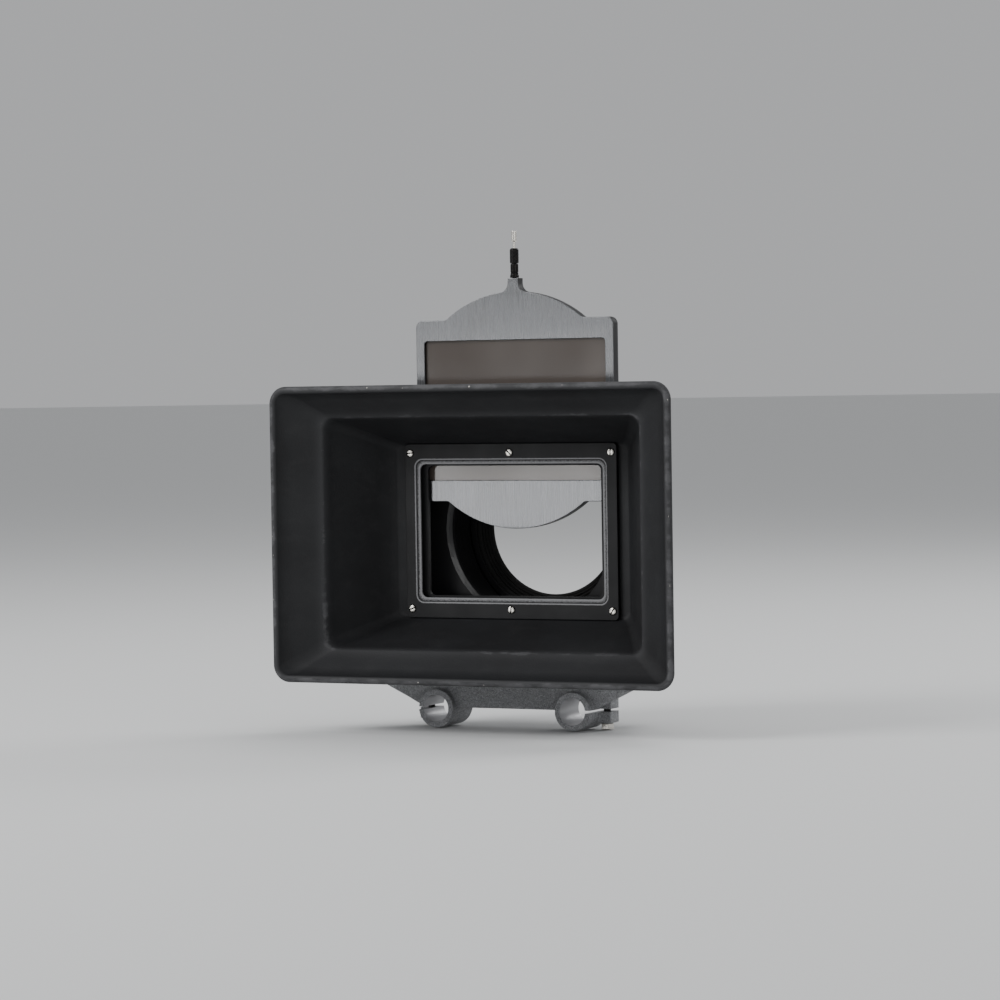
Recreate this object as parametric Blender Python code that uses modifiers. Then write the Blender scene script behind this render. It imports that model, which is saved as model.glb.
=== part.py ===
"""Cinema matte box: a moulded lens hood on a two-slot filter stage, held on two 19 mm rods by a cast bracket.

Metres, +Z up. The hood's mouth faces -Y. The origin lies midway between the two rods' axes, on the front
faces of the rod clamps. Stage pieces hang from an empty on the lens axis, at the clamp frame's front face,
so their own coordinates are measured from there.
"""

import math

import bmesh
import bpy

GAP = 0.0003  # clearance between pieces that touch
ROUND_STEPS = 40  # sides of a large turned piece
SMALL_STEPS = 12  # sides of a screw, pin or small hole
CORNER_STEPS = 4  # segments of a rounded corner

# Where the stage stands over the rods
ROD_SPACING = 0.104
ROD_RADIUS = 0.0095
LENS_AXIS_Z = 0.1223
STAGE_Y = 0.015

# Hood, measured at its inner wall: (distance behind the clamp frame's face, half width, half height)
HOOD_MOUTH = (-0.0670, 0.1478, 0.0993)
HOOD_WAIST = (-0.0485, 0.1206, 0.0808)
HOOD_REAR = (0.0035, 0.0900, 0.0611)
HOOD_THROAT = (0.0745, 0.0513)
HOOD_CORNER = 0.0090
HOOD_WALL = 0.0025
LIP_RADIUS = 0.0027

# Clamp frame and its stepped aperture
FRAME_HALF = (0.0810, 0.0606)
FRAME_THICK = 0.0032
FRAME_REBATE = 0.0012
APERTURE_OUTER = (0.0727, 0.0495)
APERTURE_INNER = (0.0699, 0.0465)
FRAME_SCREW_X = 0.07675
FRAME_SCREW_Z = 0.0543

# Filter stage: front plate, grooved rails, rear plate and floor
STAGE_HALF_WIDTH = 0.0880
STAGE_TOP = 0.0740
STAGE_BOTTOM = -0.0840
FRONT_PLATE_Y = (0.0065, 0.0091)
FRONT_PLATE_OPENING = (0.0663, 0.0452)
RAIL_Y = (0.0094, 0.0289)
REAR_PLATE_Y = (0.0292, 0.0332)
GROOVE_X = 0.0759
RIB_X = 0.0726
RIB_Y = (0.0183, 0.0203)
FLOOR_THICK = 0.0060
TIE_BOLT_X = 0.0820
TIE_BOLT_Z = (-0.0660, 0.0000, 0.0640)

# Sliding filter tray, measured from the middle of its window
TRAY_Y = 0.0137
TRAY_RISE = 0.08345
TRAY_HALF_THICK = 0.0040
TRAY_HALF_WIDTH = 0.0756
TRAY_SHOULDER = 0.0632
TRAY_ARCH_RADIUS = 0.0820
TRAY_CORNER = 0.0050
TRAY_WINDOW = (0.06925, 0.04865)
TRAY_LIP_BACK = -0.0020
TRAY_FRAME_BACK = 0.00245
TRAY_NECK_HALF = 0.00405
TRAY_NECK_TOP = 0.09115
NECK_FILLET = 0.0065
SHOULDER_FILLET = 0.0040
GLASS_HALF = (0.07175, 0.0508)
GLASS_Y = (-0.00175, 0.00225)
POST_Y = -0.0008
NUT_FOOT = 0.0098  # heights of the nut and of the pin's tip above the neck
PIN_TIP_FOOT = 0.0249

# Lens port behind the stage
PORT_BORE = 0.0640
PORT_OUTER = 0.0675
PORT_FLANGE = 0.0735
PORT_LIP = 0.0585
PORT_END_Y = 0.0760
PORT_SCREW_RADIUS = 0.0706
SEAL_BORE = 0.0475

# Brake knobs on the rail, one for each tray slot: (distance behind the frame's face, height)
BRAKES = {"front": (0.0138, 0.0450), "rear": (0.0246, 0.0220)}
BRAKE_SHAFT = 0.0020
BRAKE_KNOB = 0.0070

# Bracket, from the origin between the rods
BRACKET_FACE_Y = 0.006
BRACKET_WEB = 0.008
WEB_FOOT = 0.0003
BOSS_RADIUS = 0.0133
BOSS_LENGTH = 0.031
SHELF_Z = (0.0253, 0.0313)
SHELF_BACK = 0.065
SHELF_HALF_WIDTH = 0.086
LUG_Y = (0.017, 0.031)
LUG_HALF_HEIGHT = 0.0090
LUG_END_X = 0.0732
LEVER_X = 0.0675
LEVER_Y = 0.0240
LEVER_HUB = 0.0055
CLAMP_STUD = 0.0025
LEVER_REACH = 0.030
RIB_REACH = 0.036
RIB_THICK = 0.005
RIB_X_BRACKET = 0.022
BRACKET_SCREW_Y = (0.029, 0.039)


def new_collection(name):
    collection = bpy.data.collections.new(name)
    bpy.context.scene.collection.children.link(collection)
    return collection


for old in list(bpy.data.objects):
    bpy.data.objects.remove(old)
PARTS = new_collection("matte_box")
CUTTERS = new_collection("cutters")


def add_empty(name, location, parent=None):
    empty = bpy.data.objects.new(name, None)
    empty.location = location
    empty.parent = parent
    PARTS.objects.link(empty)
    return empty


def add_part(name, mesh, finish, parent=None, location=(0, 0, 0), rotation=(0, 0, 0)):
    """Places a mesh as one named sub-part and gives it its material: (name, colour, roughness, metallic)."""
    part = bpy.data.objects.new(name, mesh)
    part.location = location
    part.rotation_euler = rotation
    part.parent = parent
    PARTS.objects.link(part)
    if not mesh.materials:
        mesh.materials.append(make_material(*finish))
    mesh.shade_smooth()
    mesh.set_sharp_from_angle(angle=math.radians(35))
    return part


def add_cutter(name, mesh, parent=None, location=(0, 0, 0), rotation=(0, 0, 0)):
    cutter = bpy.data.objects.new(name, mesh)
    cutter.location = location
    cutter.rotation_euler = rotation
    cutter.parent = parent
    cutter.hide_render = True
    cutter.display_type = "WIRE"
    CUTTERS.objects.link(cutter)
    return cutter


def combine(part, other, operation="DIFFERENCE"):
    boolean = part.modifiers.new(operation.lower() + "_" + other.name, "BOOLEAN")
    boolean.operation = operation
    boolean.solver = "MANIFOLD"  # the exact solver leaves open edges where holes meet these filled outlines
    boolean.object = other


def make_material(name, colour, roughness, metallic):
    material = bpy.data.materials.new(name)
    material.use_nodes = True
    shader = material.node_tree.nodes["Principled BSDF"]
    shader.inputs["Base Color"].default_value = (*colour, 1.0)
    shader.inputs["Roughness"].default_value = roughness
    shader.inputs["Metallic"].default_value = metallic
    return material


def arc(centre, radius, start, end, steps):
    """Points on a circle from one angle to another, in degrees."""
    points = []
    for i in range(steps + 1):
        angle = math.radians(start + (end - start) * i / steps)
        points.append((centre[0] + radius * math.cos(angle), centre[1] + radius * math.sin(angle)))
    return points


def rounded_rectangle(half_width, half_height, radius):
    points = []
    for sx, sy, start in ((1, 1, 0), (-1, 1, 90), (-1, -1, 180), (1, -1, 270)):
        centre = (sx * (half_width - radius), sy * (half_height - radius))
        points += arc(centre, radius, start, start + 90, CORNER_STEPS)
    return points


def circle(centre, radius, steps=SMALL_STEPS):
    return arc(centre, radius, 0, 360, steps)[:-1]


def box_mesh(low, high):
    shape = bmesh.new()
    bmesh.ops.create_cube(shape, size=1.0)
    for vertex in shape.verts:
        for axis in range(3):
            vertex.co[axis] = low[axis] if vertex.co[axis] < 0 else high[axis]
    mesh = bpy.data.meshes.new("box")
    shape.to_mesh(mesh)
    shape.free()
    return mesh


def baked_mesh(source):
    """The evaluated mesh of a scratch object, welded closed. The scratch object is removed."""
    bpy.context.view_layer.update()
    evaluated = source.evaluated_get(bpy.context.evaluated_depsgraph_get())
    mesh = bpy.data.meshes.new_from_object(evaluated)
    shape = bmesh.new()
    shape.from_mesh(mesh)
    bmesh.ops.remove_doubles(shape, verts=shape.verts, dist=1e-6)
    shape.to_mesh(mesh)
    shape.free()
    bpy.data.objects.remove(source)
    return mesh


def plate_mesh(outline, holes, thickness):
    """A flat outline with holes, filled and extruded to both sides of its own XY plane."""
    curve = bpy.data.curves.new("outline", "CURVE")
    curve.dimensions = "2D"
    curve.fill_mode = "BOTH"
    curve.extrude = thickness / 2
    for ring in (outline, *holes):
        spline = curve.splines.new("POLY")
        spline.points.add(len(ring) - 1)
        for point, (x, y) in zip(spline.points, ring):
            point.co = (x, y, 0, 1)
        spline.use_cyclic_u = True
    sheet = bpy.data.objects.new("outline", curve)
    PARTS.objects.link(sheet)
    return baked_mesh(sheet)


def turned_mesh(profile, steps=ROUND_STEPS):
    """Turns (radius, height) points about Z. A solid starts and ends on the axis, top first."""
    mesh = bpy.data.meshes.new("profile")
    closed = profile[0][0] > 0
    edges = [(i, i + 1) for i in range(len(profile) - 1)]
    if closed:
        edges.append((len(profile) - 1, 0))
    mesh.from_pydata([(radius, 0, height) for radius, height in profile], edges, [])
    blank = bpy.data.objects.new("profile", mesh)
    PARTS.objects.link(blank)
    screw = blank.modifiers.new("turn", "SCREW")
    screw.steps = steps
    screw.render_steps = steps
    screw.use_merge_vertices = True
    screw.merge_threshold = 0.000001
    return baked_mesh(blank)


def loft_mesh(stations):
    """A closed ring of wall: rounded rectangles (y, half width, half height, corner) bridged in turn."""
    shape = bmesh.new()
    rings = []
    for y, half_width, half_height, corner in stations:
        outline = rounded_rectangle(half_width, half_height, corner)
        rings.append([shape.verts.new((x, y, z)) for x, z in outline])
    for ring, following in zip(rings, rings[1:] + rings[:1]):
        count = len(ring)
        for i in range(count):
            j = (i + 1) % count
            shape.faces.new((ring[i], ring[j], following[j], following[i]))
    bmesh.ops.recalc_face_normals(shape, faces=shape.faces)
    mesh = bpy.data.meshes.new("loft")
    shape.to_mesh(mesh)
    shape.free()
    return mesh


UPRIGHT = (math.radians(90), 0, 0)  # an outline drawn in XY stands in XZ, and its extrusion runs along Y
BACKWARD = (math.radians(-90), 0, 0)  # a turned piece's top points to the rear, along +Y
FORWARD = (math.radians(90), 0, 0)  # a turned piece's top points to the front, along -Y
OUT_RIGHT = (0, math.radians(90), 0)  # a turned piece's top points along +X


def upright_plate(name, outline, holes, y_span, finish, parent):
    middle = (0, (y_span[0] + y_span[1]) / 2, 0)
    return add_part(name, plate_mesh(outline, holes, y_span[1] - y_span[0]), finish, parent, middle, UPRIGHT)


def drill(name, parts, places, radius, length, rotation, parent):
    """Cuts round holes at the places, given as the middle of each, through all the parts."""
    profile = [(0, length / 2), (radius, length / 2), (radius, -length / 2), (0, -length / 2)]
    mesh = turned_mesh(profile, SMALL_STEPS)
    for number, place in enumerate(places, 1):
        cutter = add_cutter(f"{name}_{number}", mesh, parent, place, rotation)
        for part in parts:
            combine(part, cutter)


def cheese_screw_mesh(head_radius, head_height, shank_radius, length, finish):
    """A slotted cheese-head screw: the head stands on z = 0, and the shank runs down."""
    profile = [
        (0, head_height),
        (head_radius, head_height),
        (head_radius, 0),
        (shank_radius, 0),
        (shank_radius, -length),
        (0, -length),
    ]
    blank = bpy.data.objects.new("screw", turned_mesh(profile, SMALL_STEPS))
    PARTS.objects.link(blank)
    slot_half = head_radius * 0.14
    reach = head_radius * 1.2
    slot = box_mesh((-reach, -slot_half, head_height * 0.5), (reach, slot_half, head_height * 1.5))
    cutter = add_cutter("slot", slot)
    combine(blank, cutter)
    mesh = baked_mesh(blank)
    bpy.data.objects.remove(cutter)
    mesh.materials.append(make_material(*finish))
    return mesh


NICKEL = ("nickel_plate", (0.70, 0.68, 0.64), 0.28, 1.0)
BLACK_STEEL = ("black_oxide_steel", (0.03, 0.03, 0.03), 0.45, 0.8)
BLACK_ANODISED = ("black_anodised_aluminium", (0.025, 0.025, 0.027), 0.42, 0.4)
BRUSHED = ("brushed_aluminium", (0.60, 0.60, 0.61), 0.33, 1.0)
CRINKLE = ("grey_crinkle_paint", (0.16, 0.16, 0.165), 0.62, 0.0)
MOULDED = ("black_moulded_plastic", (0.030, 0.030, 0.032), 0.60, 0.0)
RUBBER = ("black_rubber", (0.015, 0.015, 0.015), 0.80, 0.0)

stage = add_empty("stage_axis", (0, STAGE_Y, LENS_AXIS_Z))
tray = add_empty("tray_slide", (0, TRAY_Y, TRAY_RISE), stage)


def build_hood():
    """The moulded hood: two tapers that meet in a rounded waist, a rolled lip and an inward rear flange."""
    waist_y, waist_width, waist_height = HOOD_WAIST
    mouth_y, mouth_width, mouth_height = HOOD_MOUTH
    rear_y, rear_width, rear_height = HOOD_REAR
    lip = []
    for angle in (215, 255, 295, 335, 15):
        along = LIP_RADIUS * math.sin(math.radians(angle))
        out = LIP_RADIUS * math.cos(math.radians(angle))
        lip.append((mouth_y + along, mouth_width + out, mouth_height + out, HOOD_CORNER + out))
    inner = [
        (rear_y, *HOOD_THROAT, 0.0050),
        (rear_y, rear_width, rear_height, 0.0050),
        (waist_y + 0.0030, waist_width - 0.0022, waist_height - 0.0015, 0.0080),
        (waist_y, waist_width, waist_height, 0.0080),
        (waist_y - 0.0025, waist_width + 0.0034, waist_height + 0.0023, 0.0080),
    ]
    back = rear_y + HOOD_WALL
    outer = [
        (waist_y + 0.0017, waist_width + HOOD_WALL, waist_height + 0.0028, 0.0105),
        (back, rear_width + HOOD_WALL, rear_height + HOOD_WALL, 0.0075),
        (back, *HOOD_THROAT, 0.0050),
    ]
    return add_part("hood_shell", loft_mesh(inner + lip + outer), MOULDED, stage)


def build_clamp_frame():
    """The flat frame that clamps the hood's flange to the stage, with a rebated aperture."""
    frame = upright_plate(
        "clamp_frame",
        rounded_rectangle(*FRAME_HALF, 0.0030),
        [rounded_rectangle(*APERTURE_INNER, 0.0043)],
        (0, FRAME_THICK),
        BLACK_ANODISED,
        stage,
    )
    rebate = plate_mesh(rounded_rectangle(*APERTURE_OUTER, 0.0050), [], 2 * FRAME_REBATE)
    combine(frame, add_cutter("frame_rebate", rebate, stage, (0, 0, 0), UPRIGHT))
    return frame


def build_frame_screws(pierced):
    """Six screws round the aperture, each in a shallow counterbore of the frame, into the front plate."""
    head_seat = 0.0009
    places = [(x, z) for z in (FRAME_SCREW_Z, -FRAME_SCREW_Z) for x in (-FRAME_SCREW_X, 0, FRAME_SCREW_X)]
    drill("frame_hole", pierced, [(x, 0.0050, z) for x, z in places], 0.0018, 0.020, FORWARD, stage)
    drill("counterbore", pierced[:1], [(x, 0, z) for x, z in places], 0.0030, 2 * head_seat, FORWARD, stage)
    mesh = cheese_screw_mesh(0.0024, 0.0016, 0.0015, 0.0075, NICKEL)
    turns = (5, -45, 88, 20, 82, 55)
    for number, ((x, z), turn) in enumerate(zip(places, turns), 1):
        rotation = (math.radians(90), math.radians(-turn), 0)
        add_part(f"frame_screw_{number}", mesh, NICKEL, stage, (x, head_seat - GAP, z), rotation)


def build_stage():
    """Front plate, two grooved rails, rear plate and floor, tied together by six bolts from behind."""
    outline = [
        (-STAGE_HALF_WIDTH, STAGE_BOTTOM),
        (STAGE_HALF_WIDTH, STAGE_BOTTOM),
        (STAGE_HALF_WIDTH, STAGE_TOP),
        (-STAGE_HALF_WIDTH, STAGE_TOP),
    ]
    front = upright_plate(
        "stage_front_plate",
        outline,
        [rounded_rectangle(*FRONT_PLATE_OPENING, 0.0035)],
        FRONT_PLATE_Y,
        BLACK_ANODISED,
        stage,
    )
    port_opening = [circle((0, 0), PORT_BORE, ROUND_STEPS)]
    rear = upright_plate("stage_rear_plate", outline, port_opening, REAR_PLATE_Y, BLACK_ANODISED, stage)
    rails = [build_rail("left", -1), build_rail("right", 1)]
    floor_low = (-STAGE_HALF_WIDTH, FRONT_PLATE_Y[0], STAGE_BOTTOM - GAP - FLOOR_THICK)
    floor_high = (STAGE_HALF_WIDTH, REAR_PLATE_Y[1], STAGE_BOTTOM - GAP)
    floor = add_part("stage_floor", box_mesh(floor_low, floor_high), BLACK_ANODISED, stage)
    places = [(sx * TIE_BOLT_X, 0.020, z) for sx in (-1, 1) for z in TIE_BOLT_Z]
    drill("tie_hole", [front, rear, *rails], places, 0.0018, 0.060, FORWARD, stage)
    mesh = cheese_screw_mesh(0.0027, 0.0020, 0.0015, 0.0265, BLACK_STEEL)
    for number, (x, _, z) in enumerate(places, 1):
        rotation = (math.radians(-90), math.radians(37 * number), 0)
        add_part(f"tie_bolt_{number}", mesh, BLACK_STEEL, stage, (x, REAR_PLATE_Y[1] + GAP, z), rotation)
    return front, rails, floor


def build_rail(side, sign):
    """One rail of the stage, with a groove for each of two trays and a rib between them."""
    section = [
        (STAGE_HALF_WIDTH, RAIL_Y[0]),
        (GROOVE_X, RAIL_Y[0]),
        (GROOVE_X, RIB_Y[0]),
        (RIB_X, RIB_Y[0]),
        (RIB_X, RIB_Y[1]),
        (GROOVE_X, RIB_Y[1]),
        (GROOVE_X, RAIL_Y[1]),
        (STAGE_HALF_WIDTH, RAIL_Y[1]),
    ]
    mesh = plate_mesh([(sign * x, y) for x, y in section], [], STAGE_TOP - STAGE_BOTTOM)
    return add_part(f"guide_rail_{side}", mesh, BLACK_ANODISED, stage, (0, 0, (STAGE_TOP + STAGE_BOTTOM) / 2))


def build_brakes(rail):
    """A knob and a nylon-tipped screw for each slot, through the right rail, that hold a tray where it is."""
    shaft_end = GROOVE_X + 0.0016 - STAGE_HALF_WIDTH
    knob = [
        (0, 0.0130),
        (BRAKE_KNOB - 0.0010, 0.0130),
        (BRAKE_KNOB, 0.0120),
        (BRAKE_KNOB, 0.0040),
        (0.0045, 0.0034),
        (0.0045, GAP),
        (BRAKE_SHAFT, GAP),
        (BRAKE_SHAFT, shaft_end),
        (0, shaft_end),
    ]
    tip_top = shaft_end - GAP
    tip_foot = shaft_end - 0.0012
    tip = [(0, tip_top), (0.0017, tip_top), (0.0017, tip_foot), (0, tip_foot)]
    nylon = ("nylon", (0.75, 0.73, 0.68), 0.5, 0.0)
    for slot, (y, z) in BRAKES.items():
        place = (STAGE_HALF_WIDTH, y, z)
        drill(f"brake_hole_{slot}", [rail], [place], BRAKE_SHAFT + GAP, 0.030, OUT_RIGHT, stage)
        add_part(f"brake_knob_{slot}", turned_mesh(knob, 20), BLACK_ANODISED, stage, place, OUT_RIGHT)
        add_part(f"brake_tip_{slot}", turned_mesh(tip, SMALL_STEPS), nylon, stage, place, OUT_RIGHT)


def build_lens_port():
    """The round port round the lens, with a baffled bore, a rubber seal and the ring that holds it."""
    start = REAR_PLATE_Y[1] + GAP
    flange_back = start + 0.0030
    baffle_pitch = 0.0060
    bore = [(PORT_LIP, PORT_END_Y), (PORT_LIP, PORT_END_Y - 0.0030), (PORT_BORE, PORT_END_Y - 0.0030)]
    for groove in range(3):
        y = PORT_END_Y - 0.0130 - groove * baffle_pitch
        bore += [(PORT_BORE, y), (PORT_BORE - 0.0012, y - 0.0020), (PORT_BORE, y - 0.0021)]
    profile = bore + [
        (PORT_BORE, start),
        (PORT_FLANGE, start),
        (PORT_FLANGE, flange_back),
        (PORT_OUTER, flange_back),
        (PORT_OUTER, PORT_END_Y - 0.0010),
        (PORT_OUTER - 0.0010, PORT_END_Y),
    ]
    port = add_part("lens_port", turned_mesh(profile[::-1]), BLACK_ANODISED, stage, (0, 0, 0), BACKWARD)
    seal_back = PORT_END_Y - 0.0030 - GAP
    seal = [
        (PORT_BORE - 0.0010, seal_back),
        (PORT_BORE - 0.0010, seal_back - 0.0036),
        (0.0560, seal_back - 0.0036),
        (SEAL_BORE, seal_back - 0.0014),
        (SEAL_BORE, seal_back),
    ]
    add_part("ring_seal", turned_mesh(seal), RUBBER, stage, (0, 0, 0), BACKWARD)
    ring_back = seal_back - 0.0036 - GAP
    ring = [
        (PORT_BORE - 0.0006, ring_back),
        (PORT_BORE - 0.0006, ring_back - 0.0020),
        (0.0590, ring_back - 0.0020),
        (0.0590, ring_back),
    ]
    add_part("seal_ring", turned_mesh(ring), BLACK_ANODISED, stage, (0, 0, 0), BACKWARD)
    return port


def build_port_screws(rear, port):
    places = []
    for corner in range(4):
        angle = math.radians(45 + 90 * corner)
        places.append((PORT_SCREW_RADIUS * math.cos(angle), 0.033, PORT_SCREW_RADIUS * math.sin(angle)))
    drill("port_hole", [rear, port], places, 0.0013, 0.020, FORWARD, stage)
    mesh = cheese_screw_mesh(0.0022, 0.0015, 0.0010, 0.0066, BLACK_STEEL)
    for number, (x, _, z) in enumerate(places, 1):
        rotation = (math.radians(-90), math.radians(50 * number), 0)
        head_y = REAR_PLATE_Y[1] + GAP + 0.0030 + GAP
        add_part(f"port_screw_{number}", mesh, BLACK_STEEL, stage, (x, head_y, z), rotation)


def half_tray_outline(with_neck):
    """The right half of the tray's edge above its middle: corner, shoulder, arch and, if wanted, the neck."""
    corner = (TRAY_HALF_WIDTH - TRAY_CORNER, TRAY_SHOULDER - TRAY_CORNER)
    points = arc(corner, TRAY_CORNER, 0, 90, CORNER_STEPS)
    reach = TRAY_ARCH_RADIUS + SHOULDER_FILLET
    rise = TRAY_SHOULDER + SHOULDER_FILLET
    fillet_centre = (math.sqrt(reach**2 - rise**2), rise)
    join = math.degrees(math.asin(rise / reach))
    points += arc(fillet_centre, SHOULDER_FILLET, 270, 180 + join, 3)
    if not with_neck:
        return points + arc((0, 0), TRAY_ARCH_RADIUS, join, 90, 14)[1:]
    reach = TRAY_ARCH_RADIUS + NECK_FILLET
    side = TRAY_NECK_HALF + NECK_FILLET
    fillet_centre = (side, math.sqrt(reach**2 - side**2))
    crown = math.degrees(math.acos(side / reach))
    points += arc((0, 0), TRAY_ARCH_RADIUS, join, crown, 12)[1:]
    points += arc(fillet_centre, NECK_FILLET, 180 + crown, 180, 5)[1:]
    return points + [(TRAY_NECK_HALF, TRAY_NECK_TOP)]


def tray_outline():
    upper = half_tray_outline(True)
    lower = [(x, -z) for x, z in half_tray_outline(False)][::-1]
    right = lower + upper
    left = [(-x, z) for x, z in right if x > 1e-9][::-1]
    return right + left


def build_tray():
    """Front frame with a pocket for the filter, the filter glass, the back frame and its six screws."""
    window = rounded_rectangle(*TRAY_WINDOW, 0.0025)
    front_y = (-TRAY_HALF_THICK, TRAY_FRAME_BACK)
    front = upright_plate("tray_front_frame", tray_outline(), [window], front_y, BRUSHED, tray)
    pocket_low = (-GLASS_HALF[0] - GAP, TRAY_LIP_BACK, -GLASS_HALF[1] - GAP)
    pocket_high = (GLASS_HALF[0] + GAP, TRAY_HALF_THICK, GLASS_HALF[1] + GAP)
    combine(front, add_cutter("glass_pocket", box_mesh(pocket_low, pocket_high), tray))
    back_y = (TRAY_FRAME_BACK + GAP, TRAY_HALF_THICK)
    back_window = rounded_rectangle(*TRAY_WINDOW, 0.0025)
    back = upright_plate("tray_back_frame", tray_outline(), [back_window], back_y, BRUSHED, tray)
    glass_low = (-GLASS_HALF[0], GLASS_Y[0], -GLASS_HALF[1])
    glass_high = (GLASS_HALF[0], GLASS_Y[1], GLASS_HALF[1])
    glass = ("filter_glass", (0.42, 0.38, 0.35), 0.05, 0.0)
    add_part("filter_glass", box_mesh(glass_low, glass_high), glass, tray)
    places = [(sx * 0.060, 0.0010, sz * 0.0575) for sx in (-1, 1) for sz in (-1, 1)]
    places += [(0, 0.0010, 0.0670), (0, 0.0010, -0.0670)]
    drill("tray_hole", [front, back], places, 0.0013, 0.0070, FORWARD, tray)
    mesh = cheese_screw_mesh(0.0019, 0.0009, 0.0010, 0.0060, NICKEL)
    for number, (x, _, z) in enumerate(places, 1):
        rotation = (math.radians(-90), math.radians(29 * number), 0)
        add_part(f"tray_screw_{number}", mesh, NICKEL, tray, (x, TRAY_HALF_THICK + GAP, z), rotation)
    return front


def build_post(front):
    """The lifting post on the tray's neck: a stud, a knurled collet nut and a sliding pin with a tip."""
    foot = (0, POST_Y, TRAY_NECK_TOP + GAP)
    drill("post_hole", [front], [(0, POST_Y, TRAY_NECK_TOP)], 0.0018, 0.0130, (0, 0, 0), tray)
    pin_bore = 0.0013
    stud = [
        (pin_bore, 0.0195),
        (0.00175, 0.0195),
        (0.00175, NUT_FOOT - 0.0003),
        (0.0028, NUT_FOOT - 0.0003),
        (0.0028, 0.0020),
        (0.0031, 0.0020),
        (0.0031, 0),
        (0.0015, 0),
        (0.0015, -0.0060),
        (0, -0.0060),
    ]
    stud = [(0, 0.0040), (pin_bore, 0.0040)] + stud
    add_part("post_stud", turned_mesh(stud, 16), BLACK_STEEL, tray, foot)
    nut = [
        (pin_bore, 0.0203),
        (0.0027, 0.0203),
        (0.0031, 0.0198),
        (0.0031, NUT_FOOT + 0.0005),
        (0.0028, NUT_FOOT),
        (0.00205, NUT_FOOT),
        (0.00205, 0.0198),
        (pin_bore, 0.0198),
    ]
    add_part("collet_nut", turned_mesh(nut, 16), BLACK_STEEL, tray, foot)
    pin = [
        (0, 0.0324),
        (0.0014, 0.0324),
        (0.00185, 0.0319),
        (0.00185, PIN_TIP_FOOT + 0.0005),
        (0.00145, PIN_TIP_FOOT),
        (0.00095, PIN_TIP_FOOT),
        (0.00095, 0.0105),
        (0, 0.0105),
    ]
    add_part("lift_pin", turned_mesh(pin, 16), NICKEL, tray, foot)


def build_bracket():
    """The cast bracket: a winged web, a shelf for the stage, two ribs and two split bosses for the rods."""
    web_back = BRACKET_FACE_Y + BRACKET_WEB
    half = [(0.0990, SHELF_Z[1] - 0.0010), (0.0990, 0.0177), (0.0760, 0.0066), (0.0640, WEB_FOOT)]
    outline = half + [(-x, z) for x, z in half][::-1]
    bracket = upright_plate("bracket_casting", outline, [], (BRACKET_FACE_Y, web_back), CRINKLE, None)
    shelf_low = (-SHELF_HALF_WIDTH, web_back - 0.002, SHELF_Z[0])
    shelf_high = (SHELF_HALF_WIDTH, SHELF_BACK, SHELF_Z[1])
    combine(bracket, add_cutter("shelf", box_mesh(shelf_low, shelf_high)), "UNION")
    rib_foot = web_back - 0.002
    rib_top = SHELF_Z[0] + 0.002
    rib = [(rib_foot, 0.0040), (web_back + RIB_REACH, rib_top), (rib_foot, rib_top)]
    rib_mesh = plate_mesh(rib, [], RIB_THICK)
    boss = [(0, BOSS_LENGTH), (BOSS_RADIUS, BOSS_LENGTH), (BOSS_RADIUS, 0), (0, 0)]
    boss_mesh = turned_mesh(boss)
    bore = [(0, 0.060), (ROD_RADIUS, 0.060), (ROD_RADIUS, -0.010), (0, -0.010)]
    bore_mesh = turned_mesh(bore)
    rib_turn = (math.radians(90), 0, math.radians(90))
    for side, sign in (("left", -1), ("right", 1)):
        rod_x = sign * ROD_SPACING / 2
        rib_place = (sign * RIB_X_BRACKET, 0, 0)
        combine(bracket, add_cutter(f"rib_{side}", rib_mesh, None, rib_place, rib_turn), "UNION")
        combine(bracket, add_cutter(f"boss_{side}", boss_mesh, None, (rod_x, 0, 0), BACKWARD), "UNION")
        lug_x = sorted((sign * (ROD_SPACING / 2 + ROD_RADIUS + 0.001), sign * LUG_END_X))
        lug = box_mesh((lug_x[0], LUG_Y[0], -LUG_HALF_HEIGHT), (lug_x[1], LUG_Y[1], LUG_HALF_HEIGHT))
        combine(bracket, add_cutter(f"lug_{side}", lug), "UNION")
    for side, sign in (("left", -1), ("right", 1)):
        rod_x = sign * ROD_SPACING / 2
        slot_x = sorted((rod_x + sign * 0.006, sign * (LUG_END_X + 0.002)))
        slot = box_mesh((slot_x[0], -0.001, -0.0010), (slot_x[1], BOSS_LENGTH + 0.001, 0.0010))
        combine(bracket, add_cutter(f"slot_{side}", slot))
        combine(bracket, add_cutter(f"rod_bore_{side}", bore_mesh, None, (rod_x, 0, 0), BACKWARD))
        stud_place = (sign * LEVER_X, LEVER_Y, 0)
        drill(f"stud_hole_{side}", [bracket], [stud_place], CLAMP_STUD + GAP, 0.030, (0, 0, 0), None)
    return bracket


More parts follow.
